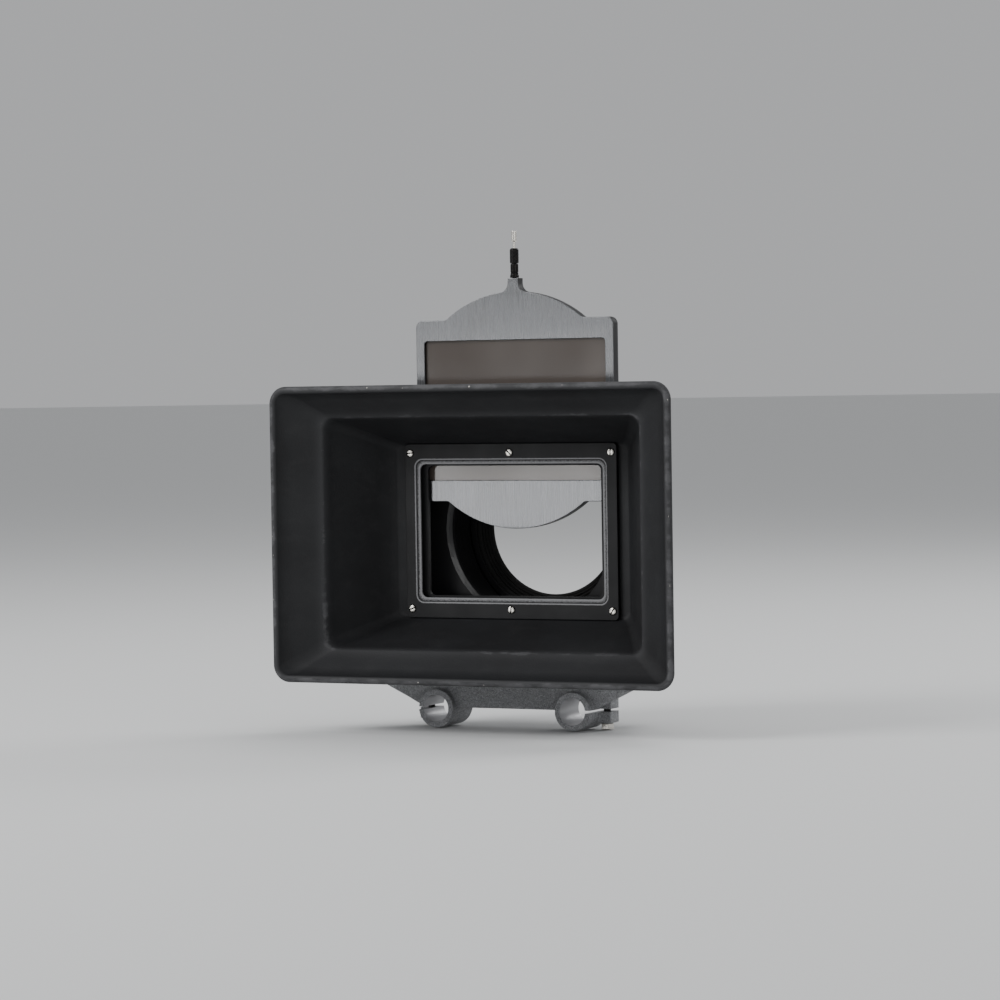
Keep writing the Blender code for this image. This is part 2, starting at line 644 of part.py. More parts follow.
def build_clamp_levers():
    """On each lug, a lever with a threaded stud, and the nut under the lug that it draws up."""
    lug_top = LUG_HALF_HEIGHT
    hub = [
        (0, 0.0215),
        (LEVER_HUB - 0.0010, 0.0215),
        (LEVER_HUB, 0.0205),
        (LEVER_HUB, lug_top + GAP),
        (CLAMP_STUD, lug_top + GAP),
        (CLAMP_STUD, -0.0135),
        (0, -0.0135),
    ]
    hub_mesh = turned_mesh(hub, 20)
    arm = arc((0, 0), 0.0050, 180, 360, 10) + arc((0, LEVER_REACH), 0.0035, 0, 180, 8)
    hexagon = circle((0, 0), 0.0046, 6)
    nut_mesh = plate_mesh(hexagon, [circle((0, 0), CLAMP_STUD + GAP)], 0.0040)
    for side, sign in (("left", -1), ("right", 1)):
        name = f"clamp_lever_{side}"
        place = (sign * LEVER_X, LEVER_Y, 0)
        lever = add_part(name, plate_mesh(arm, [], 0.0050), BLACK_STEEL, None, (*place[:2], 0.0180))
        combine(lever, add_cutter(f"hub_{side}", hub_mesh, None, place), "UNION")
        nut_place = (*place[:2], -LUG_HALF_HEIGHT - GAP - 0.0020)
        add_part(f"clamp_nut_{side}", nut_mesh, NICKEL, None, nut_place)


def build_bracket_screws(bracket, floor, rails):
    """Four screws up through the shelf and the floor into the rails."""
    places = [(sx * TIE_BOLT_X, y, 0.0400) for sx in (-1, 1) for y in BRACKET_SCREW_Y]
    drill("shelf_hole", [bracket, floor, *rails], places, 0.0023, 0.0340, (0, 0, 0), None)
    mesh = cheese_screw_mesh(0.0035, 0.0030, 0.0020, 0.0210, BLACK_STEEL)
    for number, (x, y, _) in enumerate(places, 1):
        rotation = (math.radians(180), 0, math.radians(41 * number))
        add_part(f"bracket_screw_{number}", mesh, BLACK_STEEL, None, (x, y, SHELF_Z[0] - GAP), rotation)


hood_shell = build_hood()
clamp_frame = build_clamp_frame()
front_plate, guide_rails, stage_floor = build_stage()
build_frame_screws([clamp_frame, hood_shell, front_plate])
build_brakes(guide_rails[1])
lens_port = build_lens_port()
build_port_screws(bpy.data.objects["stage_rear_plate"], lens_port)
tray_front = build_tray()
build_post(tray_front)
casting = build_bracket()
build_clamp_levers()
build_bracket_screws(casting, stage_floor, guide_rails)
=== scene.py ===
import math

import bmesh
import bpy
from mathutils import Matrix, Vector


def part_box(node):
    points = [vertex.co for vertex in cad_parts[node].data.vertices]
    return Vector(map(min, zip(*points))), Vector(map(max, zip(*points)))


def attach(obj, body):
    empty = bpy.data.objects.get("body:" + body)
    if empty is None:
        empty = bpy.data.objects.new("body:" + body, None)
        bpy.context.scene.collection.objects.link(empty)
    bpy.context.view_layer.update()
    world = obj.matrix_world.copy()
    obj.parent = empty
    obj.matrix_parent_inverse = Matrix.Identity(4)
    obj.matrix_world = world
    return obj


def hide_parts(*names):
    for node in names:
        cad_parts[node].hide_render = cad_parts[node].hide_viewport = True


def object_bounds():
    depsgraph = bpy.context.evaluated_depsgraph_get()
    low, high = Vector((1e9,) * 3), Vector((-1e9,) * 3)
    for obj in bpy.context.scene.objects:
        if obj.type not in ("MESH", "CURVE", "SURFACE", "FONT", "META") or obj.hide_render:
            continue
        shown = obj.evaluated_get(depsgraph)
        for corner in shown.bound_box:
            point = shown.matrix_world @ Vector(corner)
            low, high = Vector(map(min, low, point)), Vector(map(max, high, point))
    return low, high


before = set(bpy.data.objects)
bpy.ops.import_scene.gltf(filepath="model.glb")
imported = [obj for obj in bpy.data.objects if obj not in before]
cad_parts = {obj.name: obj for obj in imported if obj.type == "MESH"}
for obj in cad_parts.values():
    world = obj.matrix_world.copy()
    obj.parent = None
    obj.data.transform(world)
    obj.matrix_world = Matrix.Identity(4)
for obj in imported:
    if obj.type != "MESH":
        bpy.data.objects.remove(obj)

cad_low, cad_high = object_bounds()

# ---------------------------------------------------------------------------------------------------------
# Hood. One compression moulding in black ABS: two tapers that meet in a rounded waist, a rolled lip at the
# mouth and an inward flange at the rear, which the clamp frame screws down. It is skinned over rounded
# rectangles taken along its profile, measured from the clamp frame's front face on the lens axis.
# ---------------------------------------------------------------------------------------------------------


def arc(centre, radius, start, end, steps):
    """Points on a circle from one angle to another, in degrees."""
    angles = [math.radians(start + (end - start) * i / steps) for i in range(steps + 1)]
    return [(centre[0] + radius * math.cos(a), centre[1] + radius * math.sin(a)) for a in angles]


def rounded_rectangle(half_width, half_height, radius, steps=12):
    points = []
    for side, rise, start in ((1, 1, 0), (-1, 1, 90), (-1, -1, 180), (1, -1, 270)):
        centre = (side * (half_width - radius), rise * (half_height - radius))
        points += arc(centre, radius, start, start + 90, steps)
    return points


def make_mesh(name, shape, smooth_angle=32):
    """Closes a bmesh into a mesh with its faces outward, smooth but for edges sharper than the angle."""
    bmesh.ops.recalc_face_normals(shape, faces=shape.faces)
    mesh = bpy.data.meshes.new(name)
    shape.to_mesh(mesh)
    shape.free()
    mesh.shade_smooth()
    mesh.set_sharp_from_angle(angle=math.radians(smooth_angle))
    return mesh


def skin(name, rings, loop=False, smooth_angle=32):
    """A mesh stretched over rings of points. The end rings are capped, or joined where the rings loop."""
    shape = bmesh.new()
    rows = [[shape.verts.new(point) for point in ring] for ring in rings]
    following = rows[1:] + rows[:1] if loop else rows[1:]
    for row, other in zip(rows, following):
        for i in range(len(row)):
            j = (i + 1) % len(row)
            shape.faces.new((row[i], row[j], other[j], other[i]))
    if not loop:
        shape.faces.new(rows[0])
        shape.faces.new(rows[-1])
    return make_mesh(name, shape, smooth_angle)


def add_piece(name, mesh, material, place=(0, 0, 0), turn=None):
    """Places a mesh, gives it its finish and keeps its flat faces flat up to their rounded edges."""
    piece = bpy.data.objects.new(name, mesh)
    bpy.context.scene.collection.objects.link(piece)
    piece.matrix_world = Matrix.Translation(place) @ (turn or Matrix())
    if not mesh.materials:
        mesh.materials.append(material)
    flats = piece.modifiers.new("flat faces", "WEIGHTED_NORMAL")
    flats.keep_sharp = True
    return piece


def fit_piece(piece, body, slot, *replaced):
    """Rides the piece on its body and puts it in place of its plain solids. The slot, a finish's name, is not
    used.
    """
    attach(piece, body)
    if replaced:
        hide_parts(*replaced)


def linear(hex_colour):
    """An sRGB hex colour as the linear RGBA that a shader takes."""
    channels = [int(hex_colour[i : i + 2], 16) / 255 for i in (1, 3, 5)]
    return (*[c / 12.92 if c <= 0.04045 else ((c + 0.055) / 1.055) ** 2.4 for c in channels], 1.0)


def add_node(tree, kind, inputs, output=0, stops=(), **settings):
    """Adds a shader node and gives back one of its outputs. An input takes a value or another's output,
    and a colour ramp takes its stops, each a place and a grey level or a hex colour."""
    node = tree.nodes.new("ShaderNode" + kind)
    for key, value in settings.items():
        setattr(node, key, value)
    for key, value in inputs.items():
        if isinstance(value, bpy.types.NodeSocket):
            tree.links.new(value, node.inputs[key])
        else:
            node.inputs[key].default_value = value
    for number, (position, colour) in enumerate(stops):
        elements = node.color_ramp.elements
        element = elements[number] if number < len(elements) else elements.new(position)
        element.position = position
        element.color = linear(colour) if isinstance(colour, str) else (colour, colour, colour, 1.0)
    return node.outputs[output]


def start_material(name, values):
    """A material with its shader's own sockets set."""
    material = bpy.data.materials.new(name)
    material.use_nodes = True
    shader = material.node_tree.nodes["Principled BSDF"]
    for key, value in values.items():
        shader.inputs[key].default_value = value
    return material, material.node_tree, shader


# Black ABS from a spark-eroded tool: matt and finely stippled, so it drinks most of the light. Dusty in
# patches, scuffed grey along lip and waist, and chipped to the pale core in a few places on the lip. The
# waist's lightening is partly scuffing and partly a painted highlight on the bead.
hood_values = {"Roughness": 0.6, "IOR": 1.53, "Specular IOR Level": 0.32}
hood_plastic, tree, shader = start_material("moulded_black_abs", hood_values)
spot = add_node(tree, "TexCoord", {}, "Object")
stipple = add_node(tree, "TexNoise", {"Vector": spot, "Scale": 900.0, "Detail": 3.0})  # 1.1 mm grain
clouds = add_node(tree, "TexNoise", {"Vector": spot, "Scale": 15.0, "Detail": 5.0})  # 70 mm patches
long_spot = add_node(tree, "Mapping", {"Vector": spot, "Scale": (45.0, 70.0, 90.0)})
smears = add_node(tree, "TexNoise", {"Vector": long_spot, "Scale": 1.0, "Detail": 6.0, "Roughness": 0.7})
flecks = add_node(tree, "TexNoise", {"Vector": spot, "Scale": 310.0, "Detail": 2.0})  # 3 mm chips
wear = add_node(tree, "Attribute", {}, "Fac", attribute_name="wear")
body = add_node(tree, "ValToRGB", {"Fac": clouds}, stops=((0.35, "#19191b"), (0.68, "#222325")))
dusty = add_node(tree, "ValToRGB", {"Fac": smears}, stops=((0.5, 0.0), (0.8, 0.4)))
body = add_node(tree, "Mix", {0: dusty, 6: body, 7: linear("#303031")}, 2, data_type="RGBA")
# Lighter where the wear layer says so: scuffing on lip and flange, and at the waist bead partly a painted
# highlight.
body = add_node(tree, "Mix", {0: wear, 6: body, 7: linear("#464648")}, 2, data_type="RGBA")
scuff_level = add_node(tree, "Math", {0: smears, 1: wear}, operation="ADD")
scuffs = add_node(tree, "ValToRGB", {"Fac": scuff_level}, stops=((0.85, 0.0), (1.6, 1.0)))
body = add_node(tree, "Mix", {0: scuffs, 6: body, 7: linear("#4e4e50")}, 2, data_type="RGBA")
chip_level = add_node(tree, "Math", {0: flecks, 1: wear}, operation="MULTIPLY")
chips = add_node(tree, "ValToRGB", {"Fac": chip_level}, stops=((0.318, 0.0), (0.325, 1.0)))
body = add_node(tree, "Mix", {0: chips, 6: body, 7: linear("#b9b6af")}, 2, data_type="RGBA")
tree.links.new(body, shader.inputs["Base Color"])
gloss = add_node(tree, "ValToRGB", {"Fac": clouds}, stops=((0.3, 0.68), (0.7, 0.54)))
tree.links.new(gloss, shader.inputs["Roughness"])
relief = add_node(tree, "Bump", {"Height": stipple, "Distance": 0.0002, "Strength": 0.6})
tree.links.new(relief, shader.inputs["Normal"])

hood_low, hood_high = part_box("hood_shell")
stage_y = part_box("clamp_frame")[0][1]
lens_axis_z = (hood_low[2] + hood_high[2]) / 2
stage_place = (0, stage_y, lens_axis_z)

LIP_RADIUS = 0.0027
HOOD_WALL = 0.0025
HOOD_MOUTH = (-0.0670, 0.1478, 0.0993)  # distance behind the frame's face, half width and half height
HOOD_WAIST = (-0.0485, 0.1206, 0.0808)
HOOD_REAR = (0.0035, 0.0900, 0.0611)
HOOD_THROAT = (0.0745, 0.0513)
REAR_CORNER = 0.0055
MOUTH_CORNER = 0.0095
WAIST_BEAD = 0.0009  # how far the bead at the waist stands in from the two tapers
WAIST_ROUND = 0.0070  # how far the bead reaches up and down the wall
# Lightening around the waist bead: partly scuffing, partly a painted highlight.
WAIST_WEAR_AND_HIGHLIGHT = 0.35
WAIST_WEAR_AND_HIGHLIGHT_REACH = 0.0040
LIP_WEAR = 0.45
FLANGE_WEAR = 0.3
FLANGE_DRAW = 0.00025  # how far the screws draw the flange on to the stage
THROAT_CORNER = 0.0050
FILLET = 0.0030  # between the rear taper and the flange


def hood_wall(along, outward=0.0):
    """(y, half width, half height, corner, wear) on the wall, from 0 at the rear to 1 at the waist and 2 at
    the mouth. The wear at the waist is partly a painted highlight on the bead. Outward moves it square to
    the inner surface."""
    start, end = (HOOD_REAR, HOOD_WAIST) if along <= 1 else (HOOD_WAIST, HOOD_MOUTH)
    part = along if along <= 1 else along - 1
    y, width, height = [a + (b - a) * part for a, b in zip(start, end)]
    slope = math.hypot(end[0] - start[0], end[1] - start[1])
    away = abs(along - 1) * slope
    bead = WAIST_BEAD * math.exp(-((away / WAIST_ROUND) ** 2)) if not outward else 0.0
    wear_and_highlight = WAIST_WEAR_AND_HIGHLIGHT * math.exp(-((away / WAIST_WEAR_AND_HIGHLIGHT_REACH) ** 2)) if not outward else 0.0
    corner = REAR_CORNER + (MOUTH_CORNER - REAR_CORNER) * along / 2
    shift = outward * (end[1] - start[1]) / slope
    grow = outward * (start[0] - end[0]) / slope
    return (y + shift, width - bead + grow, height - bead + grow, corner + outward, wear_and_highlight)


rear_y = HOOD_REAR[0]
flange_back = rear_y + HOOD_WALL + FLANGE_DRAW
hood_profile = [
    (rear_y, *HOOD_THROAT, THROAT_CORNER, FLANGE_WEAR),
    (rear_y, HOOD_THROAT[0] + 0.0012, HOOD_THROAT[1] + 0.0012, REAR_CORNER, 0.0),
]
for angle in (0, 25, 50, 75):
    inset = FILLET * (1 - math.sin(math.radians(angle)))
    lift = FILLET * (1 - math.cos(math.radians(angle)))
    hood_profile.append((rear_y - lift, HOOD_REAR[1] - inset, HOOD_REAR[2] - inset, REAR_CORNER, 0.0))
waist_steps = [0.86, 0.89, 0.92, 0.94, 0.96, 0.98, 1.0, 1.03, 1.06, 1.09, 1.13, 1.17, 1.22, 1.28]
for step in [0.1, 0.25, 0.4, 0.55, 0.7, 0.8, *waist_steps, 1.4, 1.6, 1.8]:
    hood_profile.append(hood_wall(step))
for angle in range(205, 391, 12):
    out = LIP_RADIUS * math.cos(math.radians(angle))
    y = HOOD_MOUTH[0] + LIP_RADIUS * math.sin(math.radians(angle))
    crest = max(0.0, math.sin(math.radians(angle - 205)))
    hood_profile.append((y, HOOD_MOUTH[1] + out, HOOD_MOUTH[2] + out, MOUTH_CORNER + out, LIP_WEAR * crest))
for step in (1.9, 1.6, 1.3, 1.12, 0.95, 0.7, 0.4, 0.1):
    hood_profile.append(hood_wall(step, HOOD_WALL))
hood_profile += [
    (flange_back - 0.0009, HOOD_REAR[1] + 0.0024, HOOD_REAR[2] + 0.0024, 0.0075, FLANGE_WEAR),
    (flange_back - 0.0003, HOOD_REAR[1] + 0.0021, HOOD_REAR[2] + 0.0021, 0.0072, FLANGE_WEAR),
    (flange_back, HOOD_REAR[1] + 0.0014, HOOD_REAR[2] + 0.0014, 0.0070, FLANGE_WEAR),
    (flange_back, *HOOD_THROAT, THROAT_CORNER, 0.0),
]
hood_rings = []
hood_wear_and_highlight = []
for y, width, height, corner, wear_and_highlight in hood_profile:
    outline = rounded_rectangle(width, height, corner)
    hood_rings.append([(x, y, z) for x, z in outline])
    hood_wear_and_highlight += [wear_and_highlight] * len(outline)
hood_mesh = skin("hood_moulding", hood_rings, loop=True, smooth_angle=50)
layer = hood_mesh.attributes.new("wear", "FLOAT", "POINT")
layer.data.foreach_set("value", hood_wear_and_highlight)
hood = add_piece("hood_moulding", hood_mesh, hood_plastic, stage_place)
fit_piece(hood, "root", "hood_plastic", "hood_shell")

# ---------------------------------------------------------------------------------------------------------
# Clamp frame. Milled from 3 mm aluminium plate, bead blasted and anodised black. Its aperture steps in twice,
# and years of masks slid in and out have rubbed both edges down to the bright metal.
# ---------------------------------------------------------------------------------------------------------

# Anodised over a blasted surface: satin black with a fine grain, and bright bare aluminium in specks
# wherever an edge is worn through.
anodised_values = {"IOR": 1.6, "Specular IOR Level": 0.25}
anodised, tree, shader = start_material("black_anodised_aluminium", anodised_values)
spot = add_node(tree, "TexCoord", {}, "Object")
blast = add_node(tree, "TexNoise", {"Vector": spot, "Scale": 1500.0, "Detail": 3.0})  # coarser than real
clouds = add_node(tree, "TexNoise", {"Vector": spot, "Scale": 35.0, "Detail": 4.0})
specks = add_node(tree, "TexNoise", {"Vector": spot, "Scale": 1000.0, "Detail": 4.0, "Roughness": 0.7})
wear = add_node(tree, "Attribute", {}, "Fac", attribute_name="wear")
soft_specks = add_node(tree, "Math", {0: specks, 1: 0.8}, operation="MULTIPLY")
level = add_node(tree, "Math", {0: soft_specks, 1: wear}, operation="ADD")
rubbed = add_node(tree, "ValToRGB", {"Fac": level}, stops=((0.62, 0.0), (1.25, 1.0)))
bare = add_node(tree, "ValToRGB", {"Fac": level}, stops=((1.14, 0.0), (1.38, 1.0)))
black = add_node(tree, "ValToRGB", {"Fac": clouds}, stops=((0.35, "#0f0f11"), (0.7, "#161618")))
colour = add_node(tree, "Mix", {0: rubbed, 6: black, 7: linear("#88888a")}, 2, data_type="RGBA")
colour = add_node(tree, "Mix", {0: bare, 6: colour, 7: linear("#d2d2d4")}, 2, data_type="RGBA")
tree.links.new(colour, shader.inputs["Base Color"])
tree.links.new(bare, shader.inputs["Metallic"])
satin = add_node(tree, "ValToRGB", {"Fac": clouds}, stops=((0.3, 0.6), (0.7, 0.48)))
gloss = add_node(tree, "Mix", {0: bare, 6: satin, 7: (0.34, 0.34, 0.34, 1.0)}, 2, data_type="RGBA")
tree.links.new(gloss, shader.inputs["Roughness"])
relief = add_node(tree, "Bump", {"Height": blast, "Distance": 0.00006, "Strength": 0.45})
tree.links.new(relief, shader.inputs["Normal"])

FRAME_THICK = 0.0032
FRAME_REBATE = 0.0012
FRAME_HALF = (0.0810, 0.0606, 0.0030)
APERTURE_OUTER = (0.0727, 0.0495, 0.0050)
APERTURE_INNER = (0.0699, 0.0465, 0.0043)
EDGE_ROUND = 0.0005
WEAR_REACH = 0.0014
COUNTERBORE = 0.0030
SCREW_SEAT = 0.0009
SCREW_HOLE = 0.0018
TO_FRONT = Matrix.Rotation(math.radians(90), 4, "X")  # stands a turned piece's top to the front, -Y


def turned(name, profile, steps=48, smooth_angle=32):
    """Turns (radius, height) points about Z: capped at both ends, or looped if the first comes again last."""
    loop = profile[0] == profile[-1]
    rings = []
    for radius, height in profile[:-1] if loop else profile:
        rings.append([(x, y, height) for x, y in arc((0, 0), radius, 0, 360, steps)[:-1]])
    return skin(name, rings, loop, smooth_angle)


def moved(mesh, place, turn=None):
    mesh.transform(Matrix.Translation(place) @ (turn or Matrix()))
    return mesh


def cut_away(name, mesh, cutters, material, cut_material=None, smooth_angle=32):
    """The mesh less closed cutter meshes. The faces that they leave can have a finish of their own."""
    work = bpy.data.objects.new(name, mesh)
    bpy.context.scene.collection.objects.link(work)
    mesh.materials.append(material)
    helpers = []
    for cutter_mesh in cutters:
        if cut_material and not cutter_mesh.materials:
            cutter_mesh.materials.append(cut_material)
        helper = bpy.data.objects.new("cutter", cutter_mesh)
        bpy.context.scene.collection.objects.link(helper)
        helpers.append(helper)
        cut = work.modifiers.new("cut", "BOOLEAN")
        cut.object = helper
        cut.operation = "DIFFERENCE"
        cut.solver = "EXACT"
        cut.material_mode = "TRANSFER"
    bpy.context.view_layer.update()
    result = bpy.data.meshes.new_from_object(work.evaluated_get(bpy.context.evaluated_depsgraph_get()))
    for helper in [*helpers, work]:
        bpy.data.objects.remove(helper)
    result.shade_smooth()
    result.set_sharp_from_angle(angle=math.radians(smooth_angle))
    return result


def edge_distance(x, z, half_width, half_height, radius):
    """How far a point lies outside a rounded rectangle, less than 0 inside it."""
    over_x = abs(x) - (half_width - radius)
    over_z = abs(z) - (half_height - radius)
    return math.hypot(max(over_x, 0), max(over_z, 0)) + min(max(over_x, over_z), 0) - radius


def grown(outline, amount):
    return [size + amount for size in outline]


frame_profile = [
    (FRAME_THICK, *FRAME_HALF),
    (EDGE_ROUND, *FRAME_HALF),
    (EDGE_ROUND * 0.3, *grown(FRAME_HALF, -EDGE_ROUND * 0.3)),
    (0.0, *grown(FRAME_HALF, -EDGE_ROUND)),
]
for foot, opening in ((0.0, APERTURE_OUTER), (FRAME_REBATE, APERTURE_INNER)):
    if foot == 0.0:
        frame_profile.append((foot, *grown(opening, WEAR_REACH)))
    frame_profile += [
        (foot, *grown(opening, EDGE_ROUND)),
        (foot + EDGE_ROUND * 0.3, *grown(opening, EDGE_ROUND * 0.3)),
        (foot + EDGE_ROUND, *opening),
    ]
    frame_profile.append((FRAME_REBATE if foot == 0.0 else FRAME_THICK, *opening))
frame_rings = [[(x, y, z) for x, z in rounded_rectangle(w, h, r)] for y, w, h, r in frame_profile]

screw_places = []
counterbores = []
for number in range(1, 7):
    low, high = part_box(f"frame_screw_{number}")
    place = ((low[0] + high[0]) / 2, low[1], (low[2] + high[2]) / 2)
    screw_places.append(place)
    from_axis = (place[0], 0, place[2] - lens_axis_z)
    counterbore = turned("counterbore", [(COUNTERBORE, -SCREW_SEAT), (COUNTERBORE, 0.002)], 32)
    screw_hole = turned("screw hole", [(SCREW_HOLE, -0.006), (SCREW_HOLE, 0.002)], 24)
    counterbores += [moved(counterbore, from_axis, TO_FRONT), moved(screw_hole, from_axis, TO_FRONT)]
frame_mesh = cut_away("clamp_frame", skin("clamp_frame", frame_rings, loop=True), counterbores, anodised)
layer = frame_mesh.attributes.new("wear", "FLOAT", "POINT")
for vertex in frame_mesh.vertices:
    x, y, z = vertex.co
    to_outer = math.hypot(edge_distance(x, z, *APERTURE_OUTER), y)
    to_inner = math.hypot(edge_distance(x, z, *APERTURE_INNER), y - FRAME_REBATE)
    layer.data[vertex.index].value = max(0.0, 1 - min(to_outer, to_inner) / WEAR_REACH)
clamp_frame = add_piece("clamp_frame_milled", frame_mesh, anodised, stage_place)
fit_piece(clamp_frame, "root", "black_anodised", "clamp_frame")

# ---------------------------------------------------------------------------------------------------------
# Frame screws. Six slotted cheese-head screws in nickel-plated brass, one in each counterbore, left with
# their slots at all angles as they came tight.
# ---------------------------------------------------------------------------------------------------------

# Bright nickel: warm and near mirror, with the fine rings of the lathe.
nickel_values = {"Base Color": linear("#ece8e0"), "Metallic": 1.0}
nickel, tree, shader = start_material("bright_nickel_plate", nickel_values)
spot = add_node(tree, "TexCoord", {}, "Object")
ring_spot = add_node(tree, "Mapping", {"Vector": spot, "Scale": (300.0, 300.0, 5200.0)})
rings = add_node(tree, "TexNoise", {"Vector": ring_spot, "Scale": 1.0, "Detail": 4.0})
gloss = add_node(tree, "ValToRGB", {"Fac": rings}, stops=((0.3, 0.16), (0.7, 0.36)))
tree.links.new(gloss, shader.inputs["Roughness"])
relief = add_node(tree, "Bump", {"Height": rings, "Distance": 0.00001, "Strength": 0.3})
tree.links.new(relief, shader.inputs["Normal"])

# Painted shade for the inside of a slot: black and dead matt, on the faces that the slot's cutter leaves.
slot_shade_values = {"Base Color": linear("#0c0b0a"), "Specular IOR Level": 0.2}
slot_shade, tree, shader = start_material("slot_painted_shade", slot_shade_values)
spot = add_node(tree, "TexCoord", {}, "Object")
matt_grain = add_node(tree, "TexNoise", {"Vector": spot, "Scale": 2500.0, "Detail": 3.0})
gloss = add_node(tree, "ValToRGB", {"Fac": matt_grain}, stops=((0.3, 0.95), (0.7, 0.7)))
tree.links.new(gloss, shader.inputs["Roughness"])


def box_mesh(low, high):
    shape = bmesh.new()
    bmesh.ops.create_cube(shape, size=1.0)
    for vertex in shape.verts:
        vertex.co = [high[i] if vertex.co[i] > 0 else low[i] for i in range(3)]
    return make_mesh("box", shape)


def slotted_screw(name, head_radius, head_height, shank_radius, length, material):
    """A cheese-head screw with a crowned, slotted head. The head stands on z = 0 and the shank runs down."""
    edge = head_radius * 0.14
    thread_pitch = shank_radius * 0.35
    height = -length + shank_radius * 0.5
    profile = [(shank_radius * 0.6, -length), (shank_radius, height)]
    while height < -head_height - thread_pitch:
        profile.append((shank_radius * 0.84, height + thread_pitch * 0.5))
        height += thread_pitch
        profile.append((shank_radius, height))
    profile += [(shank_radius, 0.0), (head_radius - edge * 0.4, 0.0), (head_radius, edge * 0.4)]
    crown = head_height - edge
    profile += [(head_radius, crown - edge * 0.3), (head_radius - edge * 0.3, crown + edge * 0.4)]
    profile += [(head_radius - edge, crown + edge * 0.8), (head_radius * 0.5, crown + edge * 0.96)]
    profile += [(head_radius * 0.05, head_height)]
    half = head_radius * 0.21
    reach = head_radius * 1.2
    slot = box_mesh((-reach, -half, head_height * 0.35), (reach, half, head_height * 1.5))
    # The slot's cut faces take the black matt finish, as painted shade.
    return cut_away(name, turned(name, profile, 32, 28), [slot], material, slot_shade)


SLOT_ANGLES = (5, -45, 88, 20, 82, 55)
FRAME_HEAD = (0.0024, 0.0016)  # a screw's head is given by its radius and height
FRAME_SHANK = (0.0015, 0.0075)  # and its shank by its radius and length
frame_screw = slotted_screw("frame_screw", *FRAME_HEAD, *FRAME_SHANK, nickel)
for number, (place, angle) in enumerate(zip(screw_places, SLOT_ANGLES), 1):
    turn = Matrix.Rotation(math.radians(-angle), 4, "Y") @ TO_FRONT
    seat = (place[0], place[1] + FRAME_HEAD[1], place[2])
    screw = add_piece(f"frame_screw_slotted_{number}", frame_screw, nickel, seat, turn)
    fit_piece(screw, "root", "nickel_plate", f"frame_screw_{number}")

# ---------------------------------------------------------------------------------------------------------
# Filter stage. Two milled plates and two rails with a groove for each tray, in black anodised aluminium, held
# by six blacked bolts from the rear, and a floor bar under them. Edges are broken by 0.4 mm.
# ---------------------------------------------------------------------------------------------------------

# Steel, chemically blacked and oiled: dark and half bright, brown-grey where it has been handled.
black_steel, tree, shader = start_material("black_oxide_steel", {"Metallic": 0.8})
spot = add_node(tree, "TexCoord", {}, "Object")
clouds = add_node(tree, "TexNoise", {"Vector": spot, "Scale": 420.0, "Detail": 4.0})
colour = add_node(tree, "ValToRGB", {"Fac": clouds}, stops=((0.35, "#151517"), (0.75, "#2a2826")))
tree.links.new(colour, shader.inputs["Base Color"])
gloss = add_node(tree, "ValToRGB", {"Fac": clouds}, stops=((0.3, 0.38), (0.7, 0.24)))
tree.links.new(gloss, shader.inputs["Roughness"])
relief = add_node(tree, "Bump", {"Height": clouds, "Distance": 0.00002, "Strength": 0.4})
tree.links.new(relief, shader.inputs["Normal"])

PLATE_EDGE = 0.0004
FLOOR_EDGE = 0.0006
FLOOR_CORNER = 0.0020
FLOOR_GROOVE = 0.0008
TIE_HEAD = (0.0027, 0.0020)
TIE_SHANK = (0.0015, 0.0265)
TO_REAR = Matrix.Rotation(math.radians(-90), 4, "X")


def finish_solid(name, material, edge):
    """Gives a plain solid its finish and breaks its edges."""
    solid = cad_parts[name]
    for slot in solid.material_slots:
        slot.material = material
    bevel = solid.modifiers.new("broken edge", "BEVEL")
    bevel.width = edge
    bevel.segments = 2
    bevel.limit_method = "ANGLE"
    bevel.angle_limit = math.radians(40)
    bevel.harden_normals = True


for solid_name in ("stage_front_plate", "stage_rear_plate", "guide_rail_left", "guide_rail_right"):
    finish_solid(solid_name, anodised, PLATE_EDGE)

floor_low, floor_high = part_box("stage_floor")
floor_middle = [(a + b) / 2 for a, b in zip(floor_low, floor_high)]
half_x, half_y, half_z = [(b - a) / 2 for a, b in zip(floor_low, floor_high)]
lower_half = [(-half_z, FLOOR_EDGE), (FLOOR_EDGE - half_z, 0)]
lower_half += [(-FLOOR_GROOVE, 0), (-FLOOR_GROOVE, FLOOR_GROOVE)]
floor_stack = lower_half + [(-z, inset) for z, inset in lower_half][::-1]
floor_rings = []
for z, inset in floor_stack:
    outline = rounded_rectangle(half_x - inset, half_y - inset, FLOOR_CORNER, 6)
    floor_rings.append([(x, y, z) for x, y in outline])
floor_bar = add_piece("stage_floor_bar", skin("stage_floor_bar", floor_rings), anodised, floor_middle)
fit_piece(floor_bar, "root", "black_anodised", "stage_floor")


def fit_rear_screws(kind, count, head, shank, material, body, slot, twist):
    """Fits a set of slotted screws that go in from the rear, each turned on from the last by the twist."""
    mesh = slotted_screw(kind, *head, *shank, material)
    for number in range(1, count + 1):
        low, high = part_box(f"{kind}_{number}")
        seat = ((low[0] + high[0]) / 2, high[1] - head[1], (low[2] + high[2]) / 2)
        turn = Matrix.Rotation(math.radians(twist * number), 4, "Y") @ TO_REAR
        screw = add_piece(f"{kind}_slotted_{number}", mesh, material, seat, turn)
        fit_piece(screw, body, slot, f"{kind}_{number}")


fit_rear_screws("tie_bolt", 6, TIE_HEAD, TIE_SHANK, black_steel, "root", "black_steel", 37)

# ---------------------------------------------------------------------------------------------------------
# Brake knobs. Two thumbscrews through the right rail, one for each tray, turned in aluminium with a straight
# knurl and anodised, each with a nylon tip that bears on the tray's edge.
# ---------------------------------------------------------------------------------------------------------

